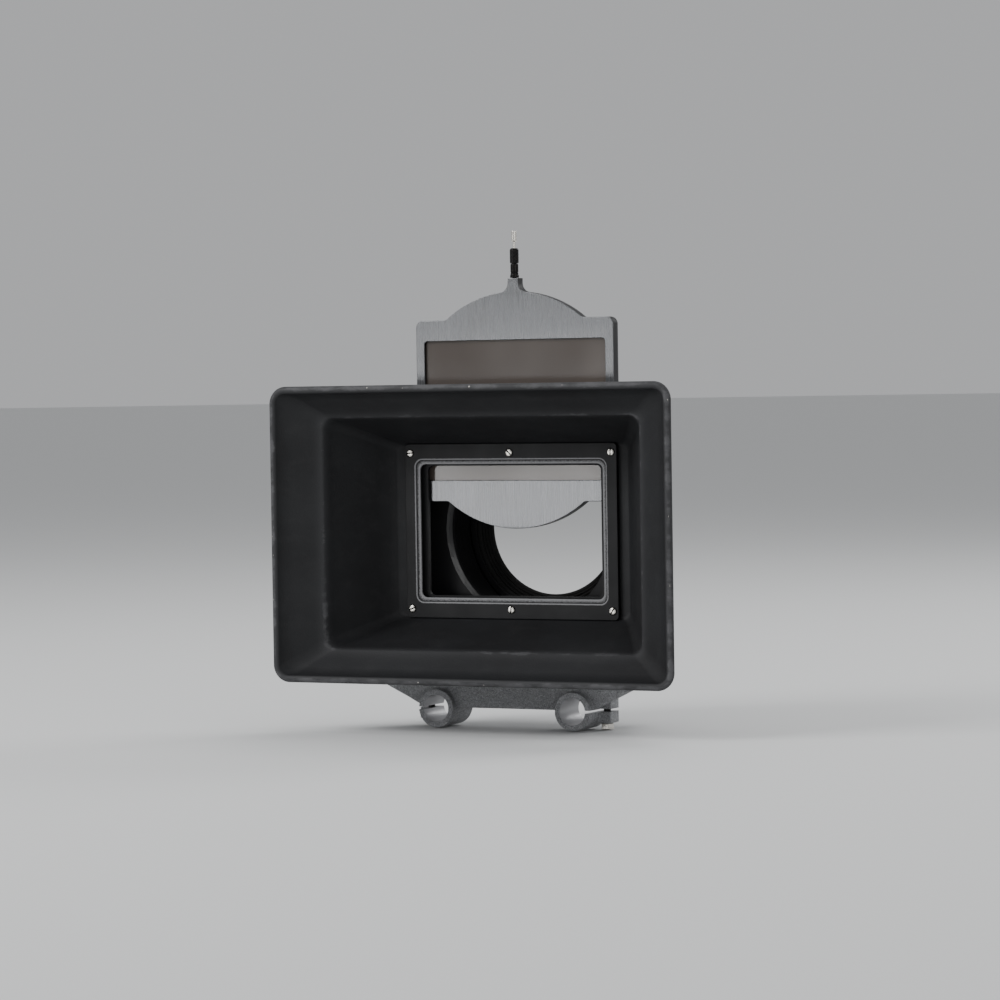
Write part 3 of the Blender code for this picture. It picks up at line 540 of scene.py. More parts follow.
# Natural nylon rod: milky and waxy, with light scattering a little way into it.
nylon_values = {"Base Color": linear("#d8d3c4"), "Subsurface Weight": 0.2}
nylon_values["Subsurface Radius"] = (0.002, 0.002, 0.0015)
nylon, tree, shader = start_material("natural_nylon", nylon_values)
spot = add_node(tree, "TexCoord", {}, "Object")
turning = add_node(tree, "TexNoise", {"Vector": spot, "Scale": 1500.0, "Detail": 3.0})
gloss = add_node(tree, "ValToRGB", {"Fac": turning}, stops=((0.3, 0.5), (0.7, 0.38)))
tree.links.new(gloss, shader.inputs["Roughness"])

KNOB_RADIUS = 0.0070
KNURL_TEETH = 30
KNURL_DEPTH = 0.00045
KNURL_BAND = (0.0045, 0.0115)
TOOTH_STEPS = 4
TIP_EDGE = 0.0002
TO_RIGHT = Matrix.Rotation(math.radians(90), 4, "Y")
knob_profile = [
    (0.0018, -0.0102), (0.0020, -0.0098), (0.0020, 0.0003), (0.0045, 0.0003), (0.0045, 0.0034),
    (KNOB_RADIUS - 0.0007, 0.0038), (KNOB_RADIUS, 0.0046), (KNOB_RADIUS, 0.0114),
    (KNOB_RADIUS - 0.0007, 0.0124), (KNOB_RADIUS - 0.0016, 0.0130), (0.0034, 0.0130),
    (0.0030, 0.0124), (0.0004, 0.0124),
]
knob_rings = []
for radius, height in knob_profile:
    ring = []
    for i in range(KNURL_TEETH * TOOTH_STEPS):
        angle = 2 * math.pi * i / (KNURL_TEETH * TOOTH_STEPS)
        knurl = KNURL_BAND[0] < height < KNURL_BAND[1]
        valley = KNURL_DEPTH * (0.5 - 0.5 * math.cos(2 * math.pi * i / TOOTH_STEPS)) if knurl else 0.0
        ring.append(((radius - valley) * math.cos(angle), (radius - valley) * math.sin(angle), height))
    knob_rings.append(ring)
knob_mesh = skin("brake_knob", knob_rings, smooth_angle=40)
rail_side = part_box("guide_rail_right")[1][0]
for tray_slot in ("front", "rear"):
    low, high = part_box(f"brake_knob_{tray_slot}")
    place = (rail_side, (low[1] + high[1]) / 2, (low[2] + high[2]) / 2)
    knob = add_piece(f"brake_thumbscrew_{tray_slot}", knob_mesh, anodised, place, TO_RIGHT)
    fit_piece(knob, f"brake_{tray_slot}", "black_anodised", f"brake_knob_{tray_slot}")
    finish_solid(f"brake_tip_{tray_slot}", nylon, TIP_EDGE)

# ---------------------------------------------------------------------------------------------------------
# Filter tray. Two plates cut to one arched outline, the front one with a pocket for the glass and the back
# one screwed on behind it. Brushed bright aluminium, its rim given the black anodised finish as painted
# shade.
# ---------------------------------------------------------------------------------------------------------

# Aluminium brushed upright on a 120 grit belt: soft highlights spread across fine upright lines. The lines
# are 0.1 mm apart on the real one and drawn about three times coarser.
brushed, tree, shader = start_material("brushed_aluminium", {"Metallic": 1.0})
spot = add_node(tree, "TexCoord", {}, "Object")
line_spot = add_node(tree, "Mapping", {"Vector": spot, "Scale": (3000.0, 3000.0, 30.0)})
lines = add_node(tree, "TexNoise", {"Vector": line_spot, "Scale": 1.0, "Detail": 5.0, "Roughness": 0.65})
streak_spot = add_node(tree, "Mapping", {"Vector": spot, "Scale": (500.0, 500.0, 9.0)})
streaks = add_node(tree, "TexNoise", {"Vector": streak_spot, "Scale": 1.0, "Detail": 4.0})
stains = add_node(tree, "TexNoise", {"Vector": spot, "Scale": 26.0, "Detail": 5.0})
tone = add_node(tree, "ValToRGB", {"Fac": lines}, stops=((0.3, "#6d6e70"), (0.72, "#77787a")))
pale = add_node(tree, "ValToRGB", {"Fac": streaks}, stops=((0.4, 0.0), (0.75, 0.22)))
tone = add_node(tree, "Mix", {0: pale, 6: tone, 7: linear("#848587")}, 2, data_type="RGBA")
dull = add_node(tree, "ValToRGB", {"Fac": stains}, stops=((0.5, 0.0), (0.8, 0.3)))
tone = add_node(tree, "Mix", {0: dull, 6: tone, 7: linear("#656462")}, 2, data_type="RGBA")
tree.links.new(tone, shader.inputs["Base Color"])
gloss = add_node(tree, "ValToRGB", {"Fac": lines}, stops=((0.3, 0.22), (0.7, 0.32)))
tree.links.new(gloss, shader.inputs["Roughness"])
relief = add_node(tree, "Bump", {"Height": lines, "Distance": 0.00003, "Strength": 0.35})
tree.links.new(relief, shader.inputs["Normal"])

TRAY_HALF_WIDTH = 0.0756
TRAY_SHOULDER = 0.0632
TRAY_ARCH_RADIUS = 0.0820
TRAY_CORNER = 0.0050
TRAY_WINDOW = (0.06925, 0.04865, 0.0025)
TRAY_HALF_THICK = 0.0040
TRAY_FRAME_BACK = 0.00245
TRAY_LIP_BACK = -0.0020
TRAY_EDGE = 0.0004
TRAY_BACK_EDGE = 0.0003
TRAY_HEAD = (0.0019, 0.0009)
TRAY_SHANK = (0.0010, 0.0060)
NECK_HALF = 0.00405
NECK_TOP = 0.09115
NECK_FILLET = 0.0065
SHOULDER_FILLET = 0.0040
GLASS_HALF = (0.07175, 0.0508)
CLEARANCE = 0.0003
POST_Y = -0.0008
POST_HOLE = 0.0018

tray_low, tray_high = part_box("tray_front_frame")
tray_place = (0, tray_low[1] + TRAY_HALF_THICK, tray_high[2] - NECK_TOP)


def half_tray(with_neck):
    """The tray's edge right of its middle and above it: corner, shoulder, arch and, if wanted, the neck."""
    corner = (TRAY_HALF_WIDTH - TRAY_CORNER, TRAY_SHOULDER - TRAY_CORNER)
    points = arc(corner, TRAY_CORNER, 0, 90, 10)
    reach = TRAY_ARCH_RADIUS + SHOULDER_FILLET
    rise = TRAY_SHOULDER + SHOULDER_FILLET
    join = math.degrees(math.asin(rise / reach))
    points += arc((math.sqrt(reach**2 - rise**2), rise), SHOULDER_FILLET, 270, 180 + join, 6)
    if not with_neck:
        return points + arc((0, 0), TRAY_ARCH_RADIUS, join, 90, 28)[1:]
    reach = TRAY_ARCH_RADIUS + NECK_FILLET
    side = NECK_HALF + NECK_FILLET
    crown = math.degrees(math.acos(side / reach))
    points += arc((0, 0), TRAY_ARCH_RADIUS, join, crown, 24)[1:]
    points += arc((side, math.sqrt(reach**2 - side**2)), NECK_FILLET, 180 + crown, 180, 10)[1:]
    return points + [(NECK_HALF, NECK_TOP)]


def tray_plate(name, y_front, y_back, edge):
    """One of the tray's plates: its outline and its window filled, thickened and rounded at the edges."""
    right_side = [(x, -z) for x, z in half_tray(False)][::-1] + half_tray(True)
    outline = right_side + [(-x, z) for x, z in right_side if x > 1e-9][::-1]
    curve = bpy.data.curves.new(name, "CURVE")
    curve.dimensions = "2D"
    curve.fill_mode = "BOTH"
    curve.extrude = (y_back - y_front) / 2 - edge
    curve.bevel_depth = edge
    curve.bevel_resolution = 2
    curve.offset = -edge
    for ring in (outline, rounded_rectangle(*TRAY_WINDOW, 8)[::-1]):
        spline = curve.splines.new("POLY")
        spline.points.add(len(ring) - 1)
        for point, (x, z) in zip(spline.points, ring):
            point.co = (x, z, 0, 1)
        spline.use_cyclic_u = True
    pattern = bpy.data.objects.new(name, curve)
    bpy.context.scene.collection.objects.link(pattern)
    bpy.context.view_layer.update()
    raw = bpy.data.meshes.new_from_object(pattern.evaluated_get(bpy.context.evaluated_depsgraph_get()))
    bpy.data.objects.remove(pattern)
    shape = bmesh.new()
    shape.from_mesh(raw)
    bmesh.ops.remove_doubles(shape, verts=shape.verts, dist=1e-6)
    middle = Matrix.Translation((0, (y_front + y_back) / 2, 0))
    bmesh.ops.transform(shape, matrix=middle @ TO_FRONT, verts=shape.verts)
    return make_mesh(name, shape, 40)


def paint_rim_shade(mesh):
    """Paints shade on the tray's rim: the black anodised finish goes on every face that stands square to the
    tray's own faces.
    """
    mesh.materials.append(anodised)
    for face in mesh.polygons:
        if abs(face.normal.y) < 0.3:
            face.material_index = len(mesh.materials) - 1


pocket_low = (-GLASS_HALF[0] - CLEARANCE, TRAY_LIP_BACK, -GLASS_HALF[1] - CLEARANCE)
pocket_high = (GLASS_HALF[0] + CLEARANCE, TRAY_HALF_THICK, GLASS_HALF[1] + CLEARANCE)
post_hole = turned("post hole", [(POST_HOLE, -0.0065), (POST_HOLE, 0.001)], 24)
post_hole = moved(post_hole, (0, POST_Y, NECK_TOP))
front_mesh = tray_plate("tray_front", -TRAY_HALF_THICK, TRAY_FRAME_BACK, TRAY_EDGE)
front_mesh = cut_away("tray_front", front_mesh, [box_mesh(pocket_low, pocket_high), post_hole], brushed)
paint_rim_shade(front_mesh)
tray_front = add_piece("tray_front_plate", front_mesh, brushed, tray_place)
fit_piece(tray_front, "filter_tray", "brushed_aluminium", "tray_front_frame")

back_mesh = tray_plate("tray_back", TRAY_FRAME_BACK + CLEARANCE, TRAY_HALF_THICK, TRAY_BACK_EDGE)
back_mesh.materials.append(brushed)
paint_rim_shade(back_mesh)
tray_back = add_piece("tray_back_plate", back_mesh, brushed, tray_place)
fit_piece(tray_back, "filter_tray", "brushed_aluminium", "tray_back_frame")

fit_rear_screws("tray_screw", 6, TRAY_HEAD, TRAY_SHANK, nickel, "filter_tray", "nickel_plate", 29)

# ---------------------------------------------------------------------------------------------------------
# Filter. A plate of neutral-density glass, 143.5 x 101.6 x 4 mm, cemented and coated, with ground edges. It
# lies loose in the front plate's pocket and the back plate keeps it there.
# ---------------------------------------------------------------------------------------------------------

# Dyed optical glass with a coating: a warm grey that passes a little light and mirrors the room, clouded
# by a faint wiping smear.
glass_values = {"IOR": 1.52, "Transmission Weight": 0.3, "Coat Weight": 0.1, "Coat Roughness": 0.1}
dark_glass, tree, shader = start_material("neutral_density_glass", glass_values)
spot = add_node(tree, "TexCoord", {}, "Object")
smear_spot = add_node(tree, "Mapping", {"Vector": spot, "Scale": (14.0, 14.0, 9.0)})
smears = add_node(tree, "TexNoise", {"Vector": smear_spot, "Scale": 1.0, "Detail": 2.0})
tint = add_node(tree, "ValToRGB", {"Fac": smears}, stops=((0.3, "#5a514b"), (0.7, "#6a6059")))
tree.links.new(tint, shader.inputs["Base Color"])
gloss = add_node(tree, "ValToRGB", {"Fac": smears}, stops=((0.3, 0.10), (0.7, 0.20)))
tree.links.new(gloss, shader.inputs["Roughness"])

GLASS_Y = (-0.00175, 0.00225)
GROUND_EDGE = 0.0004
GLASS_CORNER = 0.0010
glass_rings = []
glass_stack = [(GLASS_Y[0], GROUND_EDGE), (GLASS_Y[0] + GROUND_EDGE, 0)]
glass_stack += [(GLASS_Y[1] - GROUND_EDGE, 0), (GLASS_Y[1], GROUND_EDGE)]
for y, inset in glass_stack:
    outline = rounded_rectangle(GLASS_HALF[0] - inset, GLASS_HALF[1] - inset, GLASS_CORNER, 4)
    glass_rings.append([(x, y, z) for x, z in outline])
glass_mesh = skin("filter_glass", glass_rings, smooth_angle=20)
glass = add_piece("filter_glass_plate", glass_mesh, dark_glass, tray_place)
fit_piece(glass, "filter_tray", "filter_glass", "filter_glass")

# ---------------------------------------------------------------------------------------------------------
# Lifting post. A blacked steel stud screwed into the tray's neck, a collet nut with a diamond knurl on it
# and, gripped by the nut, a thin nickel pin with a turned tip. The tray is drawn up by it.
# ---------------------------------------------------------------------------------------------------------

PIN_BORE = 0.0013
STUD_TOP = 0.0195
BARREL_RADIUS = 0.0028
NUT_RADIUS = 0.0031
NUT_BORE = 0.00205  # clears the stud's thread
NUT_FOOT = 0.0098
NUT_SHOULDER = 0.0198
NUT_TOP = 0.0203
PIN_TIP_FOOT = 0.0249
PIN_TOP = 0.0324
THREAD_RADIUS = 0.00175
THREAD_ROOT = 0.00155
THREAD_PITCH = 0.0006
THREAD_TURNS = 15

stud_low, stud_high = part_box("post_stud")
post_place = ((stud_low[0] + stud_high[0]) / 2, (stud_low[1] + stud_high[1]) / 2, stud_high[2] - STUD_TOP)

stud_profile = [(0.0012, -0.0060), (0.0015, -0.0056), (0.0015, 0.0), (0.0029, 0.0), (0.0031, 0.0003)]
stud_profile += [(0.0031, 0.0016), (0.0029, 0.0019), (BARREL_RADIUS, 0.0023), (BARREL_RADIUS, 0.0031)]
stud_profile += [(0.0025, 0.0033), (0.0025, 0.0036), (BARREL_RADIUS, 0.0038)]
stud_profile += [(BARREL_RADIUS, NUT_FOOT - 0.0008), (0.0026, NUT_FOOT - 0.0003)]
stud_profile.append((THREAD_RADIUS, NUT_FOOT - 0.0003))
for turn_number in range(THREAD_TURNS):
    thread_foot = NUT_FOOT + turn_number * THREAD_PITCH
    stud_profile += [(THREAD_RADIUS, thread_foot), (THREAD_ROOT, thread_foot + THREAD_PITCH / 2)]
stud_profile += [(THREAD_RADIUS, STUD_TOP - 0.0002), (0.0016, STUD_TOP), (PIN_BORE, STUD_TOP)]
stud_profile += [(PIN_BORE, 0.0040), (0.0003, 0.0040)]
stud = add_piece("post_stud_turned", turned("post_stud", stud_profile, 40), black_steel, post_place)
fit_piece(stud, "filter_tray", "black_steel", "post_stud")

KNURL_STARTS = 16
KNURL_ROWS = 30
KNURL_SLOPE = 0.55  # tangent of the angle between a groove and the nut's axis
DIAMOND_DEPTH = 0.00024
nut_columns = KNURL_STARTS * 6
nut_rings = []
nut_inside = ((PIN_BORE, NUT_SHOULDER), (NUT_BORE, NUT_SHOULDER), (NUT_BORE, NUT_FOOT), (0.0027, NUT_FOOT))
for radius, height in nut_inside:
    nut_rings.append([(x, y, height) for x, y in arc((0, 0), radius, 0, 360, nut_columns)[:-1]])
knurl_low, knurl_high = NUT_FOOT + 0.0006, 0.0190
for row in range(KNURL_ROWS + 1):
    height = knurl_low + (knurl_high - knurl_low) * row / KNURL_ROWS
    twist = KNURL_STARTS * KNURL_SLOPE * (height - knurl_low) / NUT_RADIUS
    fade = min(1, row / 3, (KNURL_ROWS - row) / 3)
    ring = []
    for column in range(nut_columns):
        angle = 2 * math.pi * column / nut_columns
        left = abs(math.sin((KNURL_STARTS * angle + twist) / 2))
        right = abs(math.sin((KNURL_STARTS * angle - twist) / 2))
        radius = NUT_RADIUS - DIAMOND_DEPTH * fade * (1 - min(left, right) ** 0.7)
        ring.append((radius * math.cos(angle), radius * math.sin(angle), height))
    nut_rings.append(ring)
for radius, height in ((0.0030, 0.0194), (0.0026, 0.0200), (0.0023, NUT_TOP), (PIN_BORE, NUT_TOP)):
    nut_rings.append([(x, y, height) for x, y in arc((0, 0), radius, 0, 360, nut_columns)[:-1]])
nut_mesh = skin("collet_nut", nut_rings, loop=True, smooth_angle=55)
nut = add_piece("collet_nut_knurled", nut_mesh, black_steel, post_place)
fit_piece(nut, "collet_nut", "black_steel", "collet_nut")

pin_profile = [(0.0006, 0.0105), (0.00095, 0.0108), (0.00095, PIN_TIP_FOOT), (0.00135, PIN_TIP_FOOT)]
pin_profile += [(0.00185, PIN_TIP_FOOT + 0.0006), (0.00185, 0.0272), (0.00165, 0.0274), (0.00165, 0.0278)]
pin_profile += [(0.00185, 0.0280), (0.00185, 0.0316), (0.0017, 0.0321), (0.0012, PIN_TOP), (0.0003, PIN_TOP)]
pin = add_piece("lift_pin_turned", turned("lift_pin", pin_profile, 32), nickel, post_place)
fit_piece(pin, "lift_pin", "nickel_plate", "lift_pin")

# ---------------------------------------------------------------------------------------------------------
# Lens port. A turned tube screwed to the rear plate, anodised black, with light-trapping grooves cut in its
# bore, gripping ribs outside and an inward lip at the back.
# ---------------------------------------------------------------------------------------------------------

PORT_BORE = 0.0640
PORT_OUTER = 0.0675
PORT_FLANGE = 0.0735
PORT_LIP = 0.0585
PORT_START = 0.0335
PORT_END = 0.0760
LIP_THICK = 0.0030
GRIP_GROOVES = 6
GRIP_START = 0.0560
GRIP_PITCH = 0.0022
GRIP_DEPTH = 0.0007
TRAP_GROOVES = 10
TRAP_PITCH = 0.0026
TRAP_RIDGE = 0.0012
PORT_HEAD = (0.0022, 0.0015)
PORT_SHANK = (0.0010, 0.0066)
port_flange_back = PORT_START + 0.0030

port_profile = [(PORT_BORE, PORT_START), (PORT_FLANGE - 0.0004, PORT_START)]
port_profile += [(PORT_FLANGE, PORT_START + 0.0004), (PORT_FLANGE, port_flange_back - 0.0006)]
port_profile.append((PORT_FLANGE - 0.0006, port_flange_back))
port_profile += [(PORT_OUTER + 0.0006, port_flange_back), (PORT_OUTER, port_flange_back + 0.0006)]
for groove in range(GRIP_GROOVES):
    foot = GRIP_START + groove * GRIP_PITCH
    port_profile += [(PORT_OUTER, foot), (PORT_OUTER - GRIP_DEPTH, foot + 0.0003)]
    port_profile += [(PORT_OUTER - GRIP_DEPTH, foot + 0.0009), (PORT_OUTER, foot + 0.0012)]
port_profile += [(PORT_OUTER, PORT_END - 0.0010), (PORT_OUTER - 0.0010, PORT_END)]
port_profile.append((PORT_LIP + 0.0005, PORT_END))
port_profile += [(PORT_LIP, PORT_END - 0.0005), (PORT_LIP, PORT_END - LIP_THICK + 0.0004)]
port_profile += [(PORT_LIP + 0.0004, PORT_END - LIP_THICK), (PORT_BORE, PORT_END - LIP_THICK)]
port_profile.append((PORT_BORE, PORT_END - 0.0110))
for groove in range(TRAP_GROOVES):
    foot = PORT_END - 0.0120 - groove * TRAP_PITCH
    port_profile += [(PORT_BORE - 0.0002, foot), (PORT_BORE - TRAP_RIDGE, foot - 0.0013)]
    port_profile.append((PORT_BORE - 0.0002, foot - 0.0014))
port_profile.append(port_profile[0])
port_mesh = turned("lens_port", port_profile, 128, 30)
port = add_piece("lens_port_turned", port_mesh, anodised, stage_place, TO_REAR)
fit_piece(port, "root", "black_anodised", "lens_port")

fit_rear_screws("port_screw", 4, PORT_HEAD, PORT_SHANK, black_steel, "root", "black_steel", 50)

# ---------------------------------------------------------------------------------------------------------
# Light seal. A bellowed rubber ring that lies inside the port's lip and closes on the lens, held by a thin
# anodised ring sprung in behind it.
# ---------------------------------------------------------------------------------------------------------

# Moulded neoprene: dead black, with a grey bloom where it is dry.
rubber, tree, shader = start_material("neoprene_rubber", {"IOR": 1.5, "Specular IOR Level": 0.35})
spot = add_node(tree, "TexCoord", {}, "Object")
bloom = add_node(tree, "TexNoise", {"Vector": spot, "Scale": 160.0, "Detail": 5.0})
colour = add_node(tree, "ValToRGB", {"Fac": bloom}, stops=((0.4, "#121212"), (0.8, "#262524")))
tree.links.new(colour, shader.inputs["Base Color"])
gloss = add_node(tree, "ValToRGB", {"Fac": bloom}, stops=((0.3, 0.6), (0.7, 0.8)))
tree.links.new(gloss, shader.inputs["Roughness"])
relief = add_node(tree, "Bump", {"Height": bloom, "Distance": 0.0001, "Strength": 0.3})
tree.links.new(relief, shader.inputs["Normal"])

SEAL_BORE = 0.0475
SEAL_FOLDS = 4
FOLD_PITCH = 0.0022
HOLDER_BORE = 0.0590
seal_edge = PORT_BORE - 0.0010
seal_back = PORT_END - LIP_THICK - CLEARANCE
seal_front = seal_back - 0.0036
seal_profile = [(seal_edge, seal_back), (seal_edge, seal_front), (0.0575, seal_front)]
for fold in range(SEAL_FOLDS):
    radius = 0.0565 - fold * FOLD_PITCH
    lift = 0.0004 + fold * 0.0004
    seal_profile += [(radius, seal_front + lift + 0.0005), (radius - 0.0011, seal_front + lift)]
seal_profile += [(SEAL_BORE + 0.0003, seal_back - 0.0014), (SEAL_BORE, seal_back - 0.0008)]
seal_profile += [(SEAL_BORE + 0.0003, seal_back), (seal_edge, seal_back)]
seal_mesh = turned("ring_seal", seal_profile, 96, 60)
seal = add_piece("ring_seal_moulded", seal_mesh, rubber, stage_place, TO_REAR)
fit_piece(seal, "root", "rubber", "ring_seal")

holder_back = seal_front - CLEARANCE
holder_front = holder_back - 0.0020
holder_edge = PORT_BORE - 0.0006
holder_profile = [(holder_edge, holder_back), (holder_edge, holder_front + 0.0003)]
holder_profile += [(PORT_BORE - 0.0009, holder_front), (0.0593, holder_front)]
holder_profile += [(HOLDER_BORE, holder_front + 0.0003), (HOLDER_BORE, holder_back)]
holder_profile.append((holder_edge, holder_back))
holder_mesh = turned("seal_ring", holder_profile, 96)
holder = add_piece("seal_ring_turned", holder_mesh, anodised, stage_place, TO_REAR)
fit_piece(holder, "root", "black_anodised", "seal_ring")

# ---------------------------------------------------------------------------------------------------------
# Bracket. A sand casting in aluminium: winged web, shelf, two ribs and two split bosses run into each other
# with a casting's soft corners. It is lacquered, then the bores, slits, screw holes and lug facings are
# machined bright; the bosses' front faces are faced flat and keep the lacquer.
# ---------------------------------------------------------------------------------------------------------

# Grey crinkle lacquer, stoved on: a net of rounded worms about 1.3 mm across, glossier on its crests and
# matt in between. The crests are also painted paler, a painted glint.
crinkle, tree, shader = start_material("grey_crinkle_lacquer", {"IOR": 1.5})
spot = add_node(tree, "TexCoord", {}, "Object")
worm_settings = {"Vector": spot, "Scale": 750.0, "Detail": 2.0, "Roughness": 0.45, "Distortion": 1.6}
worms = add_node(tree, "TexNoise", worm_settings)
from_middle = add_node(tree, "Math", {0: worms, 1: 0.5}, operation="SUBTRACT")
from_middle = add_node(tree, "Math", {0: from_middle}, operation="ABSOLUTE")
crests = add_node(tree, "ValToRGB", {"Fac": from_middle}, stops=((0.0, 1.0), (0.13, 0.0)))
clouds = add_node(tree, "TexNoise", {"Vector": spot, "Scale": 40.0, "Detail": 4.0})
valleys = add_node(tree, "ValToRGB", {"Fac": clouds}, stops=((0.35, "#7a7b7e"), (0.7, "#8a8b8e")))
# Crests painted pale: a painted glint on top of the worms' real relief.
colour = add_node(tree, "Mix", {0: crests, 6: valleys, 7: linear("#c8c9cc")}, 2, data_type="RGBA")
tree.links.new(colour, shader.inputs["Base Color"])
gloss = add_node(tree, "ValToRGB", {"Fac": crests}, stops=((0.0, 0.66), (1.0, 0.42)))
tree.links.new(gloss, shader.inputs["Roughness"])
relief = add_node(tree, "Bump", {"Height": crests, "Distance": 0.0005, "Strength": 1.0})
tree.links.new(relief, shader.inputs["Normal"])

# Bare aluminium from the boring bar: bright, with the fine rings of the cut.
machined_values = {"Base Color": linear("#a8a8aa"), "Metallic": 1.0}
machined, tree, shader = start_material("machined_aluminium", machined_values)
spot = add_node(tree, "TexCoord", {}, "Object")
cut_spot = add_node(tree, "Mapping", {"Vector": spot, "Scale": (300.0, 5000.0, 300.0)})
cuts = add_node(tree, "TexNoise", {"Vector": cut_spot, "Scale": 1.0, "Detail": 3.0})
gloss = add_node(tree, "ValToRGB", {"Fac": cuts}, stops=((0.3, 0.3), (0.7, 0.46)))
tree.links.new(gloss, shader.inputs["Roughness"])
relief = add_node(tree, "Bump", {"Height": cuts, "Distance": 0.00002, "Strength": 0.4})
tree.links.new(relief, shader.inputs["Normal"])

ROD_X = 0.052
ROD_RADIUS = 0.0095
BOSS_RADIUS = 0.0133
BOSS_LENGTH = 0.031
WEB_Y = (0.006, 0.014)
WEB_FOOT = 0.0003
SHELF_HALF = 0.086
SHELF_Z = (0.0253, 0.0313)
SHELF_BACK = 0.065
RIB_X = 0.022
RIB_THICK = 0.005
LUG_Y = (0.017, 0.031)
LUG_REACH = 0.0212
LUG_HALF_HEIGHT = 0.0090
LEVER_PLACE = (0.0675, 0.0240)
LEVER_HOLE = 0.0028
LUG_FACING = 0.0057
FACING_HALF = 0.016
SLIT_START = 0.006  # from the rod's axis
SLIT_HALF = 0.0010
BRACKET_HOLE = 0.0023
BRACKET_HEAD = (0.0035, 0.0030)
BRACKET_SHANK = (0.0020, 0.0210)
CASTING_VOXEL = 0.0007
CASTING_ROUNDS = 3
OVERLAP = 0.002  # how far web, shelf and ribs run into each other


def prism(outline, low, high, turn=None):
    """A plain bar with an outline in XY between two heights, then turned."""
    mesh = skin("prism", [[(x, y, z) for x, y in outline] for z in (low, high)])
    return moved(mesh, (0, 0, 0), turn)


def run_together(name, meshes, voxel, rounds):
    """Melts closed meshes that cross into one skin with soft corners, as a casting or a forging has."""
    shape = bmesh.new()
    for mesh in meshes:
        shape.from_mesh(mesh)
    joined = bpy.data.meshes.new(name)
    shape.to_mesh(joined)
    shape.free()
    work = bpy.data.objects.new(name, joined)
    bpy.context.scene.collection.objects.link(work)
    melt = work.modifiers.new("melt", "REMESH")
    melt.mode = "VOXEL"
    melt.voxel_size = voxel
    soften = work.modifiers.new("soften", "SMOOTH")
    soften.factor = 0.5
    soften.iterations = rounds
    bpy.context.view_layer.update()
    result = bpy.data.meshes.new_from_object(work.evaluated_get(bpy.context.evaluated_depsgraph_get()))
    bpy.data.objects.remove(work)
    return result


web_half = [(0.0990, SHELF_Z[1] - 0.0010), (0.0990, 0.0177), (0.0760, 0.0066), (0.0640, WEB_FOOT)]
web_outline = web_half + [(-x, z) for x, z in web_half][::-1]
rib_top = SHELF_Z[0] + OVERLAP
rib_front = WEB_Y[1] - OVERLAP
rib_outline = [(rib_front, 0.004), (WEB_Y[1] + 0.036, rib_top), (rib_front, rib_top)]
rib_turn = Matrix.Rotation(math.radians(90), 4, "Z") @ TO_FRONT
raw_parts = [
    prism(web_outline, -WEB_Y[1], -WEB_Y[0], TO_FRONT),
    box_mesh((-SHELF_HALF, rib_front, SHELF_Z[0]), (SHELF_HALF, SHELF_BACK, SHELF_Z[1])),
]
machining = []
for side in (-1, 1):
    rod_x = side * ROD_X
    rib_mesh = prism(rib_outline, -RIB_THICK / 2, RIB_THICK / 2, rib_turn)
    raw_parts.append(moved(rib_mesh, (side * RIB_X, 0, 0)))
    boss = turned("boss", [(BOSS_RADIUS, -0.0006), (BOSS_RADIUS, BOSS_LENGTH)], 64)
    raw_parts.append(moved(boss, (rod_x, 0, 0), TO_REAR))
    lug_x = sorted((rod_x + side * (ROD_RADIUS + 0.001), rod_x + side * LUG_REACH))
    lug_low = (lug_x[0], LUG_Y[0], -LUG_HALF_HEIGHT)
    raw_parts.append(box_mesh(lug_low, (lug_x[1], LUG_Y[1], LUG_HALF_HEIGHT)))
    facing_low = (rod_x - FACING_HALF, -0.005, -FACING_HALF)
    boss_facing = box_mesh(facing_low, (rod_x + FACING_HALF, 0.0, FACING_HALF))
    boss_facing.materials.append(crinkle)
    bore = turned("bore", [(ROD_RADIUS, -0.010), (ROD_RADIUS, 0.060)], 64)
    slit_x = sorted((rod_x + side * SLIT_START, rod_x + side * (LUG_REACH + 0.002)))
    stud_hole = turned("stud hole", [(LEVER_HOLE, -0.015), (LEVER_HOLE, 0.015)], 32)
    facing_foot = LUG_HALF_HEIGHT - 0.0001
    lug_facing = turned("lug facing", [(LUG_FACING, facing_foot), (LUG_FACING, 0.012)], 48)
    lever_place = (side * LEVER_PLACE[0], LEVER_PLACE[1], 0)
    machining += [
        boss_facing,
        moved(bore, (rod_x, 0, 0), TO_REAR),
        box_mesh((slit_x[0], -0.001, -SLIT_HALF), (slit_x[1], BOSS_LENGTH + 0.001, SLIT_HALF)),
        moved(stud_hole, lever_place),
        moved(lug_facing, lever_place),
    ]
for number in range(1, 5):
    low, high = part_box(f"bracket_screw_{number}")
    screw_hole = turned("screw hole", [(BRACKET_HOLE, 0.020), (BRACKET_HOLE, 0.040)], 32)
    machining.append(moved(screw_hole, ((low[0] + high[0]) / 2, (low[1] + high[1]) / 2, 0)))
casting_mesh = run_together("bracket", raw_parts, CASTING_VOXEL, CASTING_ROUNDS)
casting_mesh = cut_away("bracket", casting_mesh, machining, crinkle, machined, 40)
bracket = add_piece("bracket_cast", casting_mesh, crinkle)
fit_piece(bracket, "root", "crinkle_paint", "bracket_casting")

bracket_screw = slotted_screw("bracket_screw", *BRACKET_HEAD, *BRACKET_SHANK, black_steel)
for number in range(1, 5):
    low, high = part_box(f"bracket_screw_{number}")
    seat = ((low[0] + high[0]) / 2, (low[1] + high[1]) / 2, low[2] + BRACKET_HEAD[1])
    turn = Matrix.Rotation(math.radians(41 * number), 4, "Z") @ Matrix.Rotation(math.radians(180), 4, "X")
    screw = add_piece(f"bracket_screw_slotted_{number}", bracket_screw, black_steel, seat, turn)
    fit_piece(screw, "root", "black_steel", f"bracket_screw_{number}")

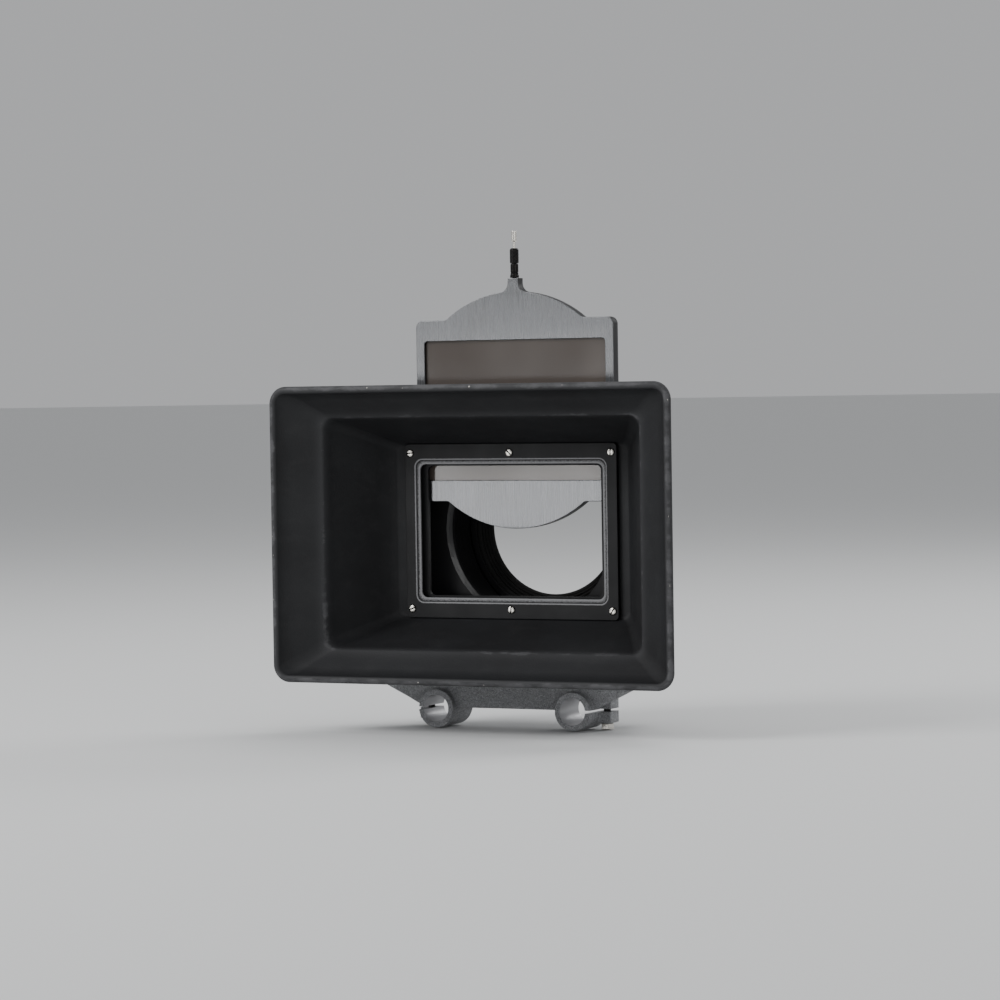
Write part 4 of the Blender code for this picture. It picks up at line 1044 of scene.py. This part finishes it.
# ---------------------------------------------------------------------------------------------------------
# Rod clamps. On each lug a forged and blacked steel lever with a thumb pad turns a stud that draws a hexagon
# nut up from below and closes the slit on the rod.
# ---------------------------------------------------------------------------------------------------------

STUD_RADIUS = 0.0025
ARM_REACH = 0.0300
ARM_Z = (0.0157, 0.0203)
HUB_RADIUS = 0.0055
PAD_RADIUS = 0.0035
FORGING_VOXEL = 0.00045
FORGING_ROUNDS = 3
hub_profile = [(0.0024, -0.0131), (STUD_RADIUS, -0.0128), (STUD_RADIUS, 0.0093), (0.0052, 0.0093)]
hub_profile += [(HUB_RADIUS, 0.0096), (HUB_RADIUS, 0.0205), (0.0046, 0.0215), (0.0030, 0.0215)]
arm_outline = arc((0, 0), 0.0050, 180, 360, 16) + arc((0, ARM_REACH), PAD_RADIUS, 0, 180, 12)
pad_profile = [(0.0030, 0.0155), (PAD_RADIUS, 0.0162), (PAD_RADIUS, 0.0198), (0.0030, 0.0205)]
forging = [turned("hub", hub_profile), prism(arm_outline, *ARM_Z)]
forging.append(moved(turned("thumb pad", pad_profile, 32), (0, ARM_REACH - 0.0002, 0)))
lever_mesh = run_together("clamp_lever", forging, FORGING_VOXEL, FORGING_ROUNDS)
lever_mesh.shade_smooth()

HEX_HEIGHT = 0.0040
HEX_CHAMFER = 0.0004
HEX_RADIUS = 0.0046
hexagon = arc((0, 0), HEX_RADIUS, 0, 360, 6)[:-1]
hex_stack = ((0, 0.93), (HEX_CHAMFER, 1), (HEX_HEIGHT - HEX_CHAMFER, 1), (HEX_HEIGHT, 0.93))
hex_mesh = skin("hex nut", [[(x * scale, y * scale, z) for x, y in hexagon] for z, scale in hex_stack])
hex_bore = turned("hex bore", [(STUD_RADIUS + CLEARANCE, -0.001), (STUD_RADIUS + CLEARANCE, 0.005)], 32)
hex_mesh = cut_away("hex nut", hex_mesh, [hex_bore], nickel)

for side_name, side in (("left", -1), ("right", 1)):
    place = (side * LEVER_PLACE[0], LEVER_PLACE[1], 0)
    lever = add_piece(f"clamp_lever_forged_{side_name}", lever_mesh, black_steel, place)
    fit_piece(lever, f"clamp_lever_{side_name}", "black_steel", f"clamp_lever_{side_name}")
    nut_place = (place[0], place[1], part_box(f"clamp_nut_{side_name}")[0][2])
    clamp_nut = add_piece(f"clamp_nut_hexagon_{side_name}", hex_mesh, nickel, nut_place)
    fit_piece(clamp_nut, "root", "nickel_plate", f"clamp_nut_{side_name}")

# ---------------------------------------------------------------------------------------------------------
# Studio. A plain pale floor just under the lowest stud, soft light from large panels and a long lens, in
# front and to the right of the mouth and a little above the lens axis.
# ---------------------------------------------------------------------------------------------------------

# Pale matt paper, with a faint tooth.
paper, tree, shader = start_material("pale_paper", {"Base Color": linear("#dcdddd"), "Roughness": 0.9})
spot = add_node(tree, "TexCoord", {}, "Object")
fibres = add_node(tree, "TexNoise", {"Vector": spot, "Scale": 400.0, "Detail": 3.0})
relief = add_node(tree, "Bump", {"Height": fibres, "Distance": 0.0001, "Strength": 0.1})
tree.links.new(relief, shader.inputs["Normal"])

FLOOR_RADIUS = 60
FLOOR_DROP = 0.0005
WORLD_STRENGTH = 0.62
LENS_LENGTH = 132.94  # mm, for a 36 mm wide sensor
disc = bmesh.new()
bmesh.ops.create_circle(disc, cap_ends=True, segments=96, radius=FLOOR_RADIUS)
floor_place = (0, 0, cad_low[2] - FLOOR_DROP)
floor = add_piece("paper_floor", make_mesh("paper_floor", disc), paper, floor_place)

world = bpy.data.worlds.new("studio")
bpy.context.scene.world = world
world.use_nodes = True
background = world.node_tree.nodes["Background"]
background.inputs["Color"].default_value = linear("#dfe0e2")
background.inputs["Strength"].default_value = WORLD_STRENGTH

object_middle = Vector((0, 0.02, 0.12))
panels = {  # where each panel stands, its width and height, and its power in watts
    "key": ((-1.6, -2.0, 1.8), (1.4, 1.4), 50.0),
    "fill": ((2.3, -1.6, 0.8), (1.4, 1.4), 8.0),
    "low": ((-1.1, -2.3, 0.07), (1.1, 0.16), 4.5),
    "top": ((0.1, 0.5, 2.2), (1.6, 1.6), 20.0),
    "rim": ((1.3, 2.0, 1.4), (1.0, 1.0), 18.0),
}
for name, (place, (width, height), power) in panels.items():
    panel = bpy.data.lights.new(name, "AREA")
    panel.shape = "RECTANGLE"
    panel.size = width
    panel.size_y = height
    panel.energy = power
    light = bpy.data.objects.new(name, panel)
    light.location = place
    light.rotation_euler = (object_middle - Vector(place)).to_track_quat("-Z", "Y").to_euler()
    bpy.context.scene.collection.objects.link(light)

camera_data = bpy.data.cameras.new("camera")
camera_data.sensor_width = 36.0
camera_data.lens = LENS_LENGTH
camera = bpy.data.objects.new("camera", camera_data)
camera_right = Vector((0.89897, 0.43775, -0.01526))
camera_back = Vector((0.43801, -0.89845, 0.03068)).normalized()
camera_up = camera_back.cross(camera_right).normalized()
camera_right = camera_up.cross(camera_back)
camera_place = Vector((1.1091, stage_y - 2.2904, lens_axis_z + 0.0998))
camera_turn = Matrix((camera_right, camera_up, camera_back)).transposed().to_4x4()
camera.matrix_world = Matrix.Translation(camera_place) @ camera_turn
bpy.context.scene.collection.objects.link(camera)
bpy.context.scene.camera = camera
